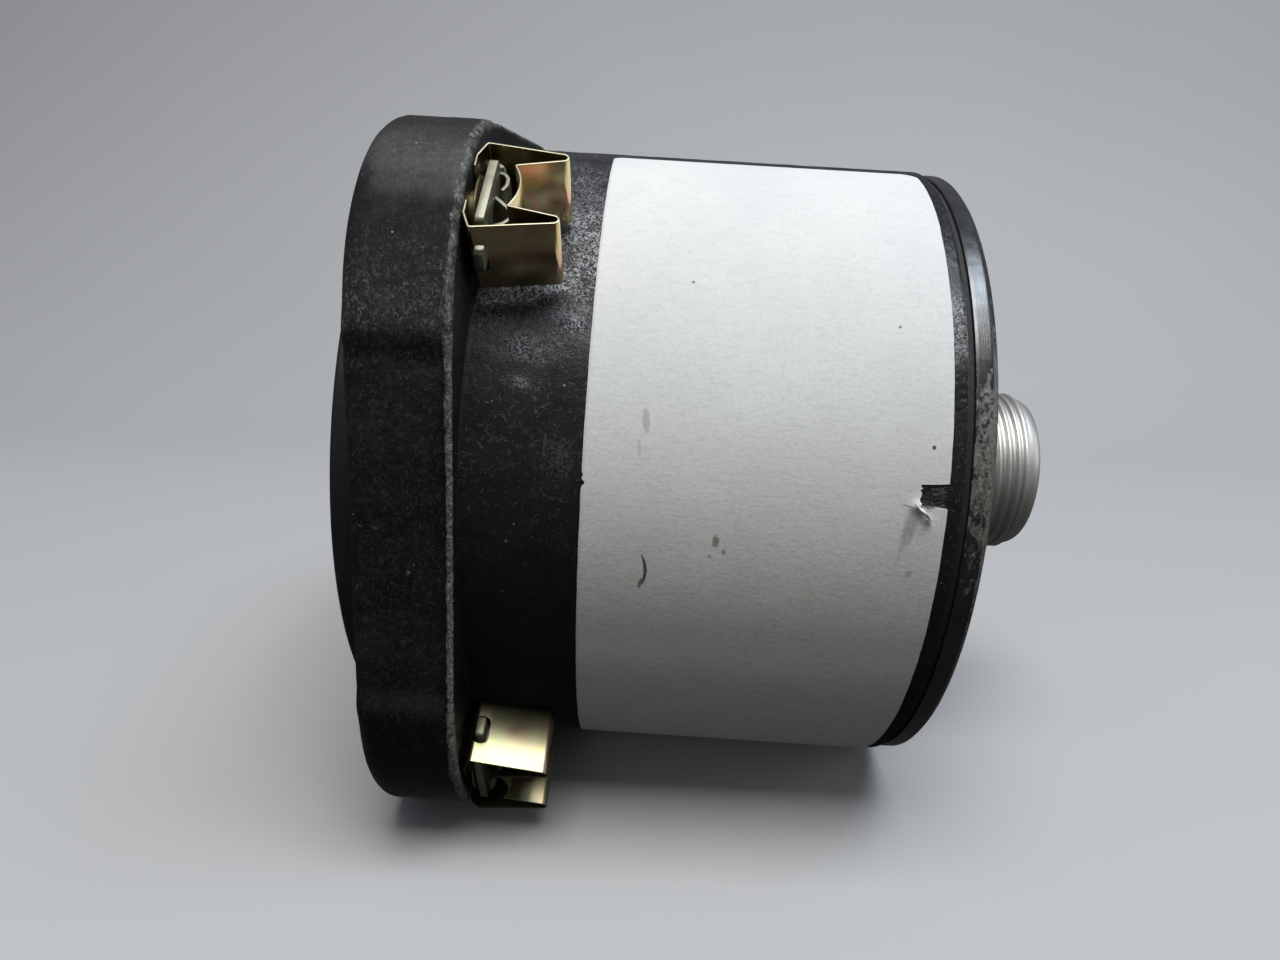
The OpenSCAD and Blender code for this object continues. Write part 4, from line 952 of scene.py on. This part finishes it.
# =============================================================== the paper label
def build_label():
    r0 = math.radians(12)
    s_all = list(np.arange(0, 2.4, 0.1)) + list(np.arange(2.4, 106.05, 0.42))
    base = -math.radians(12) * 39.6
    first = math.radians(12) * 39.7
    # finer rows by the tear
    s_all = [s for s in s_all if not (53.2 + base < s < 58.2 + base)] + list(np.arange(53.2 + base, 58.2 + base, 0.10)) + [106.06]
    s_all = np.array(sorted(set(np.round(s_all, 4))))
    ang = s_all / 39.6 + r0
    s_top = ang * 39.7                            # arc length measured from the top
    ys = np.concatenate([np.linspace(23.55, 54.0, 73), np.linspace(54.0, 60.35, 34)[1:]])

    def cut_corner(s, r):
        """How far a corner of radius r takes the edge back, s being the arc length from the top."""
        d = max(0.0, r - (s - first))
        return r - math.sqrt(max(0.0, r * r - d * d))

    def right_edge(s):
        wob = 0.04 * noise.noise(Vector((s * 0.35, 3.1, 0.4))) + 0.02 * noise.noise(Vector((s * 2.1, 1.1, 9.4))) + 0.10 * (1 - float(smooth(s, 18, 30)))
        k = float(smooth(s, 53.85, 54.05) * (1 - smooth(s, 56.1, 56.35)))
        rag = 0.28 * noise.noise(Vector((s * 1.9, 5.0, 2.0))) + 0.22 * noise.noise(Vector((s * 5.5, 2.0, 7.0)))
        return 60.33 + wob - k * (2.75 + rag) - cut_corner(s, 2.2)

    def left_edge(s):
        wob = 0.03 * noise.noise(Vector((s * 0.4, 8.1, 0.4)))
        k = math.exp(-((s - 56.0) / 0.28) ** 2) * 0.35 + math.exp(-((s - 55.2) / 0.2) ** 2) * 0.15
        return 23.57 + wob + k + cut_corner(s, 1.3)

    ns, ny = len(ang), len(ys)
    outer = np.zeros((ns, ny, 3))
    inner = np.zeros((ns, ny, 3))
    for i in range(ns):
        s, a = s_top[i], ang[i]
        ye, y0 = right_edge(s), left_edge(s)
        for j, yy in enumerate(ys):
            y = yy
            if yy > 54.0:
                y = 54.0 + (yy - 54.0) * (ye - 54.0) / 6.35
            elif yy < 25.0:
                y = y0 + (yy - 23.55) * (25.0 - y0) / 1.45
            lift = 0.0
            # the edge of the tear stands up on its lower, inner corner
            dy, ds = y - 57.55, s - 56.25
            lift += 0.42 * math.exp(-(dy / 0.75) ** 2 - (ds / 0.55) ** 2)
            # a crease runs down from it
            c = (s - 57.2) * 0.55 + 58.3
            lift += 0.16 * math.exp(-((y - c) / 0.35) ** 2) * math.exp(-((s - 57.0) / 0.9) ** 2)
            lift += 0.03 * max(0.0, noise.noise(Vector((s * 0.12, y * 0.12, 4.0))))
            edge = math.exp(-((y - ye) / 0.35) ** 2) * max(0.0, noise.noise(Vector((s * 0.45, 1.0, 1.0)))) * 0.05
            lift += edge
            rr = 39.655 + lift
            outer[i, j] = ((rr + 0.055) * math.sin(a), y, (rr + 0.055) * math.cos(a))
            inner[i, j] = ((rr - 0.045) * math.sin(a), y, (rr - 0.045) * math.cos(a))
    verts = np.concatenate([outer.reshape(-1, 3), inner.reshape(-1, 3)])
    off = ns * ny
    faces = []
    for i in range(ns - 1):
        for j in range(ny - 1):
            a = i * ny + j
            faces.append((a, a + 1, a + ny + 1, a + ny))
            faces.append((off + a, off + a + ny, off + a + ny + 1, off + a + 1))
    for i in range(ns - 1):
        a, b = i * ny, (i + 1) * ny
        faces.append((a, b, off + b, off + a))
        a, b = i * ny + ny - 1, (i + 1) * ny + ny - 1
        faces.append((b, a, off + a, off + b))
    for j in range(ny - 1):
        a, b = j, j + 1
        faces.append((b, a, off + a, off + b))
        a, b = (ns - 1) * ny + j, (ns - 1) * ny + j + 1
        faces.append((a, b, off + b, off + a))
    ob = outward(new_mesh("label_sheet", verts, faces))
    shade(ob, 50)
    add(ob, M["paper"], "case", ["paper_label"])

    # the torn flap: a curled sliver of the same paper
    n_u, n_v = 15, 7
    pts = np.zeros((n_u, n_v, 3))
    for i in range(n_u):
        u = i / (n_u - 1)
        for j in range(n_v):
            v = j / (n_v - 1) - 0.5
            width = 0.75 * (1 - u) ** 0.7 + 0.10
            s = 56.15 + 1.55 * u + v * width * 0.5
            y = 57.45 + 1.35 * u ** 1.2 + v * width
            lift = 0.30 + 0.55 * math.sin(min(1.0, u * 1.15) * math.pi) * 0.9 + 0.12 * v
            a = s / 39.7
            pts[i, j] = ((39.70 + lift) * math.sin(a), y, (39.70 + lift) * math.cos(a))
    th = np.zeros_like(pts)
    c = pts.copy()
    c[:, :, 1] = 0
    c /= np.linalg.norm(c, axis=2)[:, :, None]
    th = pts - c * 0.09
    verts = np.concatenate([pts.reshape(-1, 3), th.reshape(-1, 3)])
    off, faces = n_u * n_v, []
    for i in range(n_u - 1):
        for j in range(n_v - 1):
            a = i * n_v + j
            faces.append((a, a + 1, a + n_v + 1, a + n_v))
            faces.append((off + a, off + a + n_v, off + a + n_v + 1, off + a + 1))
    for i in range(n_u - 1):
        a, b = i * n_v, (i + 1) * n_v
        faces.append((a, b, off + b, off + a))
        a, b = a + n_v - 1, b + n_v - 1
        faces.append((b, a, off + a, off + b))
    for j in range(n_v - 1):
        faces.append((j + 1, j, off + j, off + j + 1))
        a = (n_u - 1) * n_v + j
        faces.append((a, a + 1, off + a + 1, off + a))
    fl = outward(new_mesh("label_flap", verts, faces))
    shade(fl, 60)
    add(fl, M["paper"], "case")
    return ob


build_label()


# =============================================================== rear cover
def build_cover():
    N = 640
    prof = [[10.9, 62.75], [11.05, 62.6], [20, 62.6], [32, 62.6], [38.6, 62.6], [39.05, 62.62], [39.2, 62.72], [39.24, 62.9]]
    prof += [[39.24, y] for y in np.arange(63.1, 64.4, 0.2)]
    prof += [[39.22, 64.46], [39.14, 64.60], [38.85, 64.90], [38.66, 65.08], [38.5, 65.17], [38.3, 65.2]]
    prof += [[r, 65.2] for r in (37.6, 36.4, 34.5, 32, 29, 26, 22, 18, 14.5, 12)] + [[11.05, 65.2], [10.9, 65.05], [10.9, 64]]
    lp = turned_loops(prof, N)
    v, f = loft(lp)
    ob = outward(new_mesh("cover_disc", v, f))
    tools = []
    for a in (45, 135, 225, 315):
        t, g = loft(turned_loops([[1.4, 61], [1.4, 64.0], [2.75, 65.35]], 48), False, True)
        tools.append(outward(new_mesh("tool", t + np.array([33.4 * math.sin(math.radians(a)), 0, 33.4 * math.cos(math.radians(a))]), g)))
    for sx in (-1, 1):
        for sz in (-1, 1):
            t, g = loft(turned_loops([[1.2, 61], [1.2, 67]], 32), False, True)
            tools.append(outward(new_mesh("tool", t + np.array([11.5 * sx, 0, 11.5 * sz]), g)))
    cut(ob, tools)
    co = coords(ob)
    R = np.hypot(co[:, 0], co[:, 2])
    sel = np.nonzero(R > 37.5)[0]
    for i in sel:
        k = 0.02 * (fbm(co[i] * 0.6 + 3, 3) + 0.6)
        k = max(0.0, k)
        co[i, 0] *= 1 - k / R[i]
        co[i, 2] *= 1 - k / R[i]
    set_coords(ob, co)
    ang = np.degrees(np.arctan2(co[:, 0], co[:, 2]))
    y = co[:, 1]
    side = smooth(R, 38.95, 39.15)
    cham = smooth(y, 64.35, 64.6) * smooth(R, 38.2, 38.6)
    # the rim is rubbed bare in patches round the camera's side and less elsewhere
    place = 0.20 + 0.44 * np.exp(-((ang - 72) / 19.0) ** 2) + 0.12 * np.cos(np.radians(ang * 3 + 40)) + 0.10 * np.exp(-((ang - 40) / 14.0) ** 2)
    wear = np.maximum(side * place, cham * (place + 0.22))
    wear = np.maximum(wear, 0.16 * smooth(R, 30, 38))
    attribute(ob, "wear", np.clip(wear, 0, 1))
    shade(ob, 35)
    return add(ob, M["cover"], "case", ["rear_cover"])


build_cover()


# =============================================================== receptacle shell with a real thread
def build_shell():
    N, pitch, r_out, r_in = 192, 1.27, 11.0, 10.58
    y0, y1 = 68.0, 80.15
    phi = np.linspace(0, 2 * math.pi, N, endpoint=False)
    ys = np.arange(y0, y1, 0.085)
    loops, groove = [], []

    def loop(R, y, g=0.0):
        R = np.broadcast_to(R, (N,))
        loops.append(np.stack([R * np.sin(phi), np.broadcast_to(y, (N,)), R * np.cos(phi)], 1))
        groove.append(np.broadcast_to(g, (N,)))

    loop(9.3, 68.0)
    loop(9.3, 60.2)
    loop(9.35, 58.75)
    loop(9.5, 58.6)
    loop(10.45, 58.6)
    loop(10.6, 58.75)
    loop(10.6, 67.9)
    for y in ys:
        ph = np.mod((y - y0) / pitch - phi / (2 * math.pi), 1.0)
        tri = np.abs(ph * 2 - 1)                                  # 1 at the root, 0 at the crest
        prof = 0.5 - 0.5 * np.cos(math.pi * smooth(tri, 0.0, 1.0) ** 0.8)
        depth = (r_out - r_in) * prof
        run = smooth(y, y0 + 0.2, y0 + 1.2) * (1 - smooth(y, y1 - 0.9, y1 - 0.1))
        loop(r_out - depth * run - 0.02 * (1 - run), y, prof * run)
    for r, y in ((10.93, y1), (10.68, 80.22), (10.55, 80.32), (10.5, 80.45), (10.48, 80.8), (10.42, 81.15), (10.30, 81.5), (10.12, 81.82), (9.96, 82.02), (9.82, 82.14), (9.70, 82.19), (9.58, 82.2), (9.38, 82.14), (9.3, 82.0), (9.3, 76)):
        loop(r, y)
    v, f = loft(np.array(loops))
    body = outward(new_mesh("receptacle_shell", v, f))
    attribute(body, "groove", np.concatenate(groove))
    shade(body, 50)
    add(body, M["alu"], "case", ["connector_shell"])

    # square mounting flange with rounded corners and four screw holes
    half, r = 15.1, 3.5
    out = []
    for cx, cz, a0 in ((half - r, half - r, 0), (-half + r, half - r, 90), (-half + r, -half + r, 180), (half - r, -half + r, 270)):
        for k in range(13):
            a = math.radians(a0 + 90 * k / 12)
            out.append((cx, cz, math.cos(a), math.sin(a)))
    out = np.array(out)

    def ring(inset, y):
        x = out[:, 0] + (r - inset) * out[:, 2]
        z = out[:, 1] + (r - inset) * out[:, 3]
        return np.stack([x, np.full(len(x), y), z], 1)

    loops = [ring(0.15, 65.6), ring(0.04, 65.64), ring(0, 65.75), ring(0, 67.7), ring(0.06, 67.9), ring(0.25, 68.0)]
    v, f = loft(np.array(loops), False, True)
    pl = outward(new_mesh("receptacle_flange", v, f))
    tools = []
    t, g = loft(turned_loops([[10.55, 64], [10.55, 70]], 96), False, True)
    tools.append(outward(new_mesh("tool", t, g)))
    for sx in (-1, 1):
        for sz in (-1, 1):
            t, g = loft(turned_loops([[1.3, 64], [1.3, 70]], 32), False, True)
            tools.append(outward(new_mesh("tool", t + np.array([11.5 * sx, 0, 11.5 * sz]), g)))
    cut(pl, tools)
    attribute(pl, "groove", np.zeros(len(pl.data.vertices)))
    shade(pl, 35)
    add(pl, M["alu"], "case")

    # polarising key
    lp = []
    for y, k in ((71.5, 0.12), (71.6, 0), (81.1, 0), (81.2, 0.12)):
        lp.append([(-0.9 + k, y, 8.3 + k), (0.9 - k, y, 8.3 + k), (0.9 - k, y, 9.6), (-0.9 + k, y, 9.6)])
    v, f = loft(np.array(lp), False, True)
    key = outward(new_mesh("receptacle_key", v, f))
    attribute(key, "groove", np.zeros(len(key.data.vertices)))
    shade(key, 35)
    add(key, M["alu"], "case")


build_shell()


# =============================================================== bezel
def build_bezel():
    prof = round_polyline([[33.0, -2.6], [37.7, -2.6], [38.1, -2.2], [38.1, 0], [38.6, 0], [38.6, 0.4], [36.38, 0.4], [36.38, 1], [31.2, 1], [31.2, -0.6], [33.0, -2.6], [37.7, -2.6]], 0.18, 4)
    prof = prof[1:-1]
    prof = fine(prof, 0.8)
    v, f = loft(turned_loops(prof, 512))
    ob = outward(new_mesh("bezel_turned", v, f))
    t1, g1 = loft(turned_loops([[0.86, -5], [0.86, 3]], 40), False, True)
    t2, g2 = loft(turned_loops([[1.4, -5], [1.4, -1.3]], 40), False, True)
    tools = [outward(new_mesh("tool", t + np.array([0, 0, -35.0]), g)) for t, g in ((t1, g1), (t2, g2))]
    cut(ob, tools)
    shade(ob, 35)
    return add(ob, M["bezel"], "case", ["bezel_ring"])


build_bezel()


# =============================================================== dial markings
DIAL_Y = 9.0


def on_dial(r, a):
    return (r * math.sin(math.radians(a)), r * math.cos(math.radians(a)))


def flat_piece(name, outlines, y_face, thick, mat):
    """Thin printed or painted shapes standing on the dial: each outline is (x, z) points in order."""
    verts, faces = [], []
    for o in outlines:
        n, base = len(o), len(verts)
        verts += [(x, y_face - thick, z) for x, z in o] + [(x, y_face, z) for x, z in o]
        faces.append(tuple(base + i for i in range(n)))
        faces.append(tuple(base + n + i for i in range(n - 1, -1, -1)))
        for i in range(n):
            j = (i + 1) % n
            faces.append((base + i, base + n + i, base + n + j, base + j))
    ob = outward(new_mesh(name, verts, faces))
    shade(ob, 30)
    return add(ob, mat, "case")


def scale_angle(t):
    return -55 + 110 * t / 350.0


def arc_band(r0, r1, a0, a1, n=40):
    inner = [on_dial(r0, a0 + (a1 - a0) * i / n) for i in range(n + 1)]
    outer = [on_dial(r1, a0 + (a1 - a0) * i / n) for i in range(n, -1, -1)]
    return inner + outer


def tick(a, r0, r1, w):
    s, c = math.sin(math.radians(a)), math.cos(math.radians(a))
    return [(r0 * s - w / 2 * c, r0 * c + w / 2 * s), (r0 * s + w / 2 * c, r0 * c - w / 2 * s), (r1 * s + w / 2 * c, r1 * c - w / 2 * s), (r1 * s - w / 2 * c, r1 * c + w / 2 * s)]


marks = [arc_band(27.9, 28.1, scale_angle(0), scale_angle(350), 80)]
for t in range(0, 351, 10):
    if t % 50 == 0:
        marks.append(tick(scale_angle(t), 28.05, 31.2, 0.62))
    else:
        marks.append(tick(scale_angle(t), 28.05, 29.7, 0.28))
flat_piece("dial_scale", marks, DIAL_Y, 0.03, M["white"])
flat_piece("dial_green_band", [arc_band(29.9, 31.0, scale_angle(103), scale_angle(147)), arc_band(29.9, 31.0, scale_angle(153), scale_angle(197)), arc_band(29.9, 31.0, scale_angle(203), scale_angle(235))], DIAL_Y, 0.025, M["green"])
flat_piece("dial_red_line", [tick(scale_angle(260), 28.0, 31.4, 0.7)], DIAL_Y, 0.035, M["red"])


def dial_text(name, body, size, x, z, mat):
    cu = bpy.data.curves.new(name, "FONT")
    cu.body = body
    cu.size = size * MM
    cu.extrude = 0.015 * MM
    cu.align_x = "CENTER"
    cu.align_y = "CENTER"
    cu.resolution_u = 6
    t = link(bpy.data.objects.new(name + "_curve", cu))
    bpy.context.view_layer.update()
    dg = bpy.context.evaluated_depsgraph_get()
    me = bpy.data.meshes.new_from_object(t.evaluated_get(dg), depsgraph=dg)
    bpy.data.objects.remove(t)
    me.transform(Matrix.Translation(Vector((x * MM, (DIAL_Y - 0.016) * MM, z * MM))) @ Matrix.Rotation(math.radians(90), 4, "X"))
    ob = link(bpy.data.objects.new(name, me))
    return add(ob, mat, "case")


for i, t in enumerate((0, 100, 200, 300)):
    x, z = on_dial(24.6, scale_angle(t))
    dial_text(f"dial_number_{i}", str(t), 4.2, x, z, M["white"])
dial_text("dial_unit", "°C", 4.4, 0, -12.5, M["white"])


# =============================================================== nut clips
CLIP_TURN = (-4.5, -16.5, 5.0, -3.0)
RHO, STRIP_T, STRIP_W = 44.45, 0.25, 7.94


def corner_matrix(k, share):
    a = math.radians(45 + 90 * (k - 1))
    out = share * 0.04 if k == 2 else 0.0
    side = -share * 0.57 if k == 2 else 0.0
    return (Matrix.Rotation(a, 4, "Y") @ Matrix.Translation(Vector((side, 0, RHO + out))) @ Matrix.Rotation(math.radians(CLIP_TURN[k - 1]), 4, "Y"))


def place(ob, mat4):
    m = mat4.copy()
    m.translation = m.translation * MM
    ob.data.transform(m)
    ob.data.update()
    return ob


def clip_centre_line():
    half = [[2.95, 4.25], [3.98, 8.75]]
    for i in range(9):
        a = math.radians(172 - 164 * i / 8)
        half.append([4.5 + 0.5 * math.cos(a), 8.82 + 0.5 * math.sin(a)])
    half += [[6.13, 1.22], [6.05, 1.0], [5.83, 0.9], [4.2, 0.25], [2.55, 0.25]]
    half = np.array(half)
    arc = np.array([[2.95 * i / 8, 5.1 - 0.85 * (i / 8) ** 2] for i in range(-7, 8)])
    left = half[::-1] * np.array([-1, 1])
    line = np.concatenate([left, arc, half])
    n = len(line)
    radius = np.full(n, 0.12)
    for i, p in enumerate(line):
        if abs(abs(p[0]) - 2.95) < 0.02 and abs(p[1] - 4.25) < 0.02:
            radius[i] = 0.42
        if abs(abs(p[0]) - 4.2) < 0.02:
            radius[i] = 0.8
    line = round_polyline(line, radius, 5)
    return fine(line, 0.22)


def capsule(half_w, y0, y1, x0, x1, r, seg=8):
    """A cutter through the leg: a slot in (y, z) with rounded corners, running along x."""
    pts = []
    for cy, cz, a0 in ((y1 - r, half_w - r, 0), (y0 + r, half_w - r, 90), (y0 + r, -half_w + r, 180), (y1 - r, -half_w + r, 270)):
        for k in range(seg + 1):
            a = math.radians(a0 + 90 * k / seg)
            pts.append((cy + r * math.cos(a), cz + r * math.sin(a)))
    lp = np.array([[(x, p[0], p[1]) for p in pts] for x in (x0, x1)])
    v, f = loft(lp, False, True)
    return outward(new_mesh("tool", v, f))


def build_cage(k):
    line = clip_centre_line()
    line[:, 1] += FLANGE_T
    loops = sweep_flat(line, rounded_section(STRIP_W / 2, STRIP_T / 2, 0.07))
    v, f = loft(loops, False, True)
    ob = outward(new_mesh(f"clip_cage_{k}", v, f))
    tools = [capsule(1.7, FLANGE_T + 0.85, FLANGE_T + 2.65, s * 4.9, s * 7.3, 0.85) for s in (-1, 1)]
    lp, g = loft(turned_loops([[3.25, FLANGE_T - 1], [3.25, FLANGE_T + 0.6]], 64), False, True)
    tools.append(outward(new_mesh("tool", lp, g)))
    lp, g = loft(turned_loops([[1.9, FLANGE_T + 3], [1.9, FLANGE_T + 7]], 48), False, True)
    tools.append(outward(new_mesh("tool", lp, g)))
    cut(ob, tools)
    co = coords(ob)
    t, y, z = np.abs(co[:, 0]), co[:, 1] - FLANGE_T, np.abs(co[:, 2])
    bend = np.maximum.reduce([np.exp(-((np.hypot(t - 4.5, y - 8.9)) / 1.0) ** 2), 0.8 * np.exp(-((np.hypot(t - 2.95, y - 4.25)) / 0.8) ** 2),
                              0.6 * np.exp(-((np.hypot(t - 6.1, y - 1.1)) / 0.6) ** 2), 0.5 * smooth(-t, -2.6, -1.0) * smooth(y, 3, 4)])
    attribute(ob, "bend", bend)
    attribute(ob, "rim", smooth(z, STRIP_W / 2 - 0.05, STRIP_W / 2 - 0.01))
    # the faces that look into the folds, told apart by their side of the strip's middle line; the material paints shade
    # on them
    d_ = np.gradient(line, axis=0)
    nrm = np.stack([-d_[:, 1], d_[:, 0]], 1) / np.linalg.norm(d_, axis=1)[:, None]
    q = co[:, None, :2] - line[None, :, :]
    near = np.argmin((q ** 2).sum(2), 1)
    side = (q[np.arange(len(co)), near] * nrm[near]).sum(1)
    attribute(ob, "inside", (side < 0).astype(float))
    if k == 2:
        # this clip's near leg is sprung out of square and a little long
        w = 1 - smooth(co[:, 0], -3.2, 2.0)
        y_ = np.maximum(0.0, co[:, 1] - FLANGE_T - 1.0)
        a = co[:, 2] + STRIP_W / 2
        co[:, 1] = co[:, 1] + 0.055 * y_ * w
        co[:, 0] = co[:, 0] + math.sin(math.radians(2.0)) * a * w
        co[:, 2] = co[:, 2] + 0.035 * y_ * w
        set_coords(ob, co)
    place(ob, corner_matrix(k, 1))
    shade(ob, 40)
    return add(ob, M["chromate"], f"clip_{k}", [f"nut_cage_{k}"])


def build_nut(k):
    # plate outline with tabs, rounded corners
    def corner(cx, cz, r, a0, a1, n=5):
        return [(cx + r * math.cos(math.radians(a0 + (a1 - a0) * i / n)), cz + r * math.sin(math.radians(a0 + (a1 - a0) * i / n))) for i in range(n + 1)]

    q = []
    q += corner(6.75 - 0.35, 1.2 - 0.35, 0.35, 0, 90)
    q += [(4.5, 1.2)]
    q += corner(4.5 - 0.5, 3.45 - 0.5, 0.5, 0, 90)
    full = q + [(-x, z) for x, z in q[::-1]] + [(-x, -z) for x, z in q] + [(x, -z) for x, z in q[::-1]]
    full = np.array(full)
    c = full / np.maximum(1e-6, np.abs(full)) * 1.0
    loops = []
    for inset, y in ((0.10, 1.27), (0.03, 1.30), (0, 1.37), (0, 2.10), (0.03, 2.17), (0.10, 2.20)):
        p = full - c * inset
        loops.append(np.stack([p[:, 0], np.full(len(p), y), p[:, 1]], 1))
    v, f = loft(np.array(loops), False, True)
    ob = outward(new_mesh(f"clip_nut_{k}", v, f))
    t, g = loft(turned_loops([[1.4, 0], [1.4, 4]], 40), False, True)
    cut(ob, [outward(new_mesh("tool", t, g))])
    parts = [ob]
    for line, hw in (([[-4.35, 1.9], [-4.2, 2.7], [-3.5, 3.15], [-2.5, 3.15], [-1.7, 2.8]], 1.9), ([[-1.2, 2.0], [-0.5, 2.8], [0.3, 3.6], [1.0, 4.1], [1.8, 4.15], [2.6, 3.5], [3.4, 2.0]], 1.5)):
        ln = fine(round_polyline(line, 0.9, 6), 0.2)
        lp = sweep_flat(ln, rounded_section(hw, 0.20, 0.07))
        v, f = loft(lp, False, True)
        parts.append(outward(new_mesh("tongue", v, f)))
    bm = bmesh.new()
    for p in parts:
        bm.from_mesh(p.data)
    bm.to_mesh(ob.data)
    bm.free()
    for p in parts[1:]:
        me = p.data
        bpy.data.objects.remove(p)
        bpy.data.meshes.remove(me)
    co = coords(ob)
    attribute(ob, "bend", 0.5 * smooth(co[:, 1], 2.4, 3.2))
    attribute(ob, "rim", np.zeros(len(co)))
    if k == 2:
        co[:, 0] -= 0.30 * smooth(-co[:, 0], 5.4, 6.2)
        set_coords(ob, co)
    m = corner_matrix(k, 0.4) @ Matrix.Translation(Vector((0, FLANGE_T, 0)))
    if k == 1:
        m = m @ Matrix.Translation(Vector((0, 0.05, 0))) @ Matrix.Rotation(math.radians(-1.1), 4, "Z")
    place(ob, m)
    shade(ob, 35)
    return add(ob, M["nut"], f"nut_{k}", [f"nut_plate_{k}"])


def build_eyelets():
    prof = [[1.9, 0.15], [2.0, 0.0], [2.2, 0.0], [2.3, 0.12], [2.3, 6.0], [2.3, 11.5], [2.36, 11.66], [2.5, 11.72], [3.62, 11.72], [3.76, 11.76], [3.8, 11.83], [3.74, 11.91],
            [3.6, 11.95], [2.5, 11.95], [2.2, 11.93], [2.0, 11.84], [1.9, 11.6], [1.9, 6.0]]
    loops = turned_loops(prof, 64)
    verts, faces = [], []
    for a in (45, 135, 225, 315):
        v, f = loft(loops)
        base = len(verts)
        verts += list(v + np.array([RHO * math.sin(math.radians(a)), 0, RHO * math.cos(math.radians(a))]))
        faces += [tuple(base + i for i in q) for q in f]
    ob = outward(new_mesh("eyelet_set", verts, faces))
    shade(ob, 40)
    return add(ob, M["eyelet"], "case", ["clip_eyelets"])


for k in (1, 2, 3, 4):
    build_cage(k)
    build_nut(k)
build_eyelets()
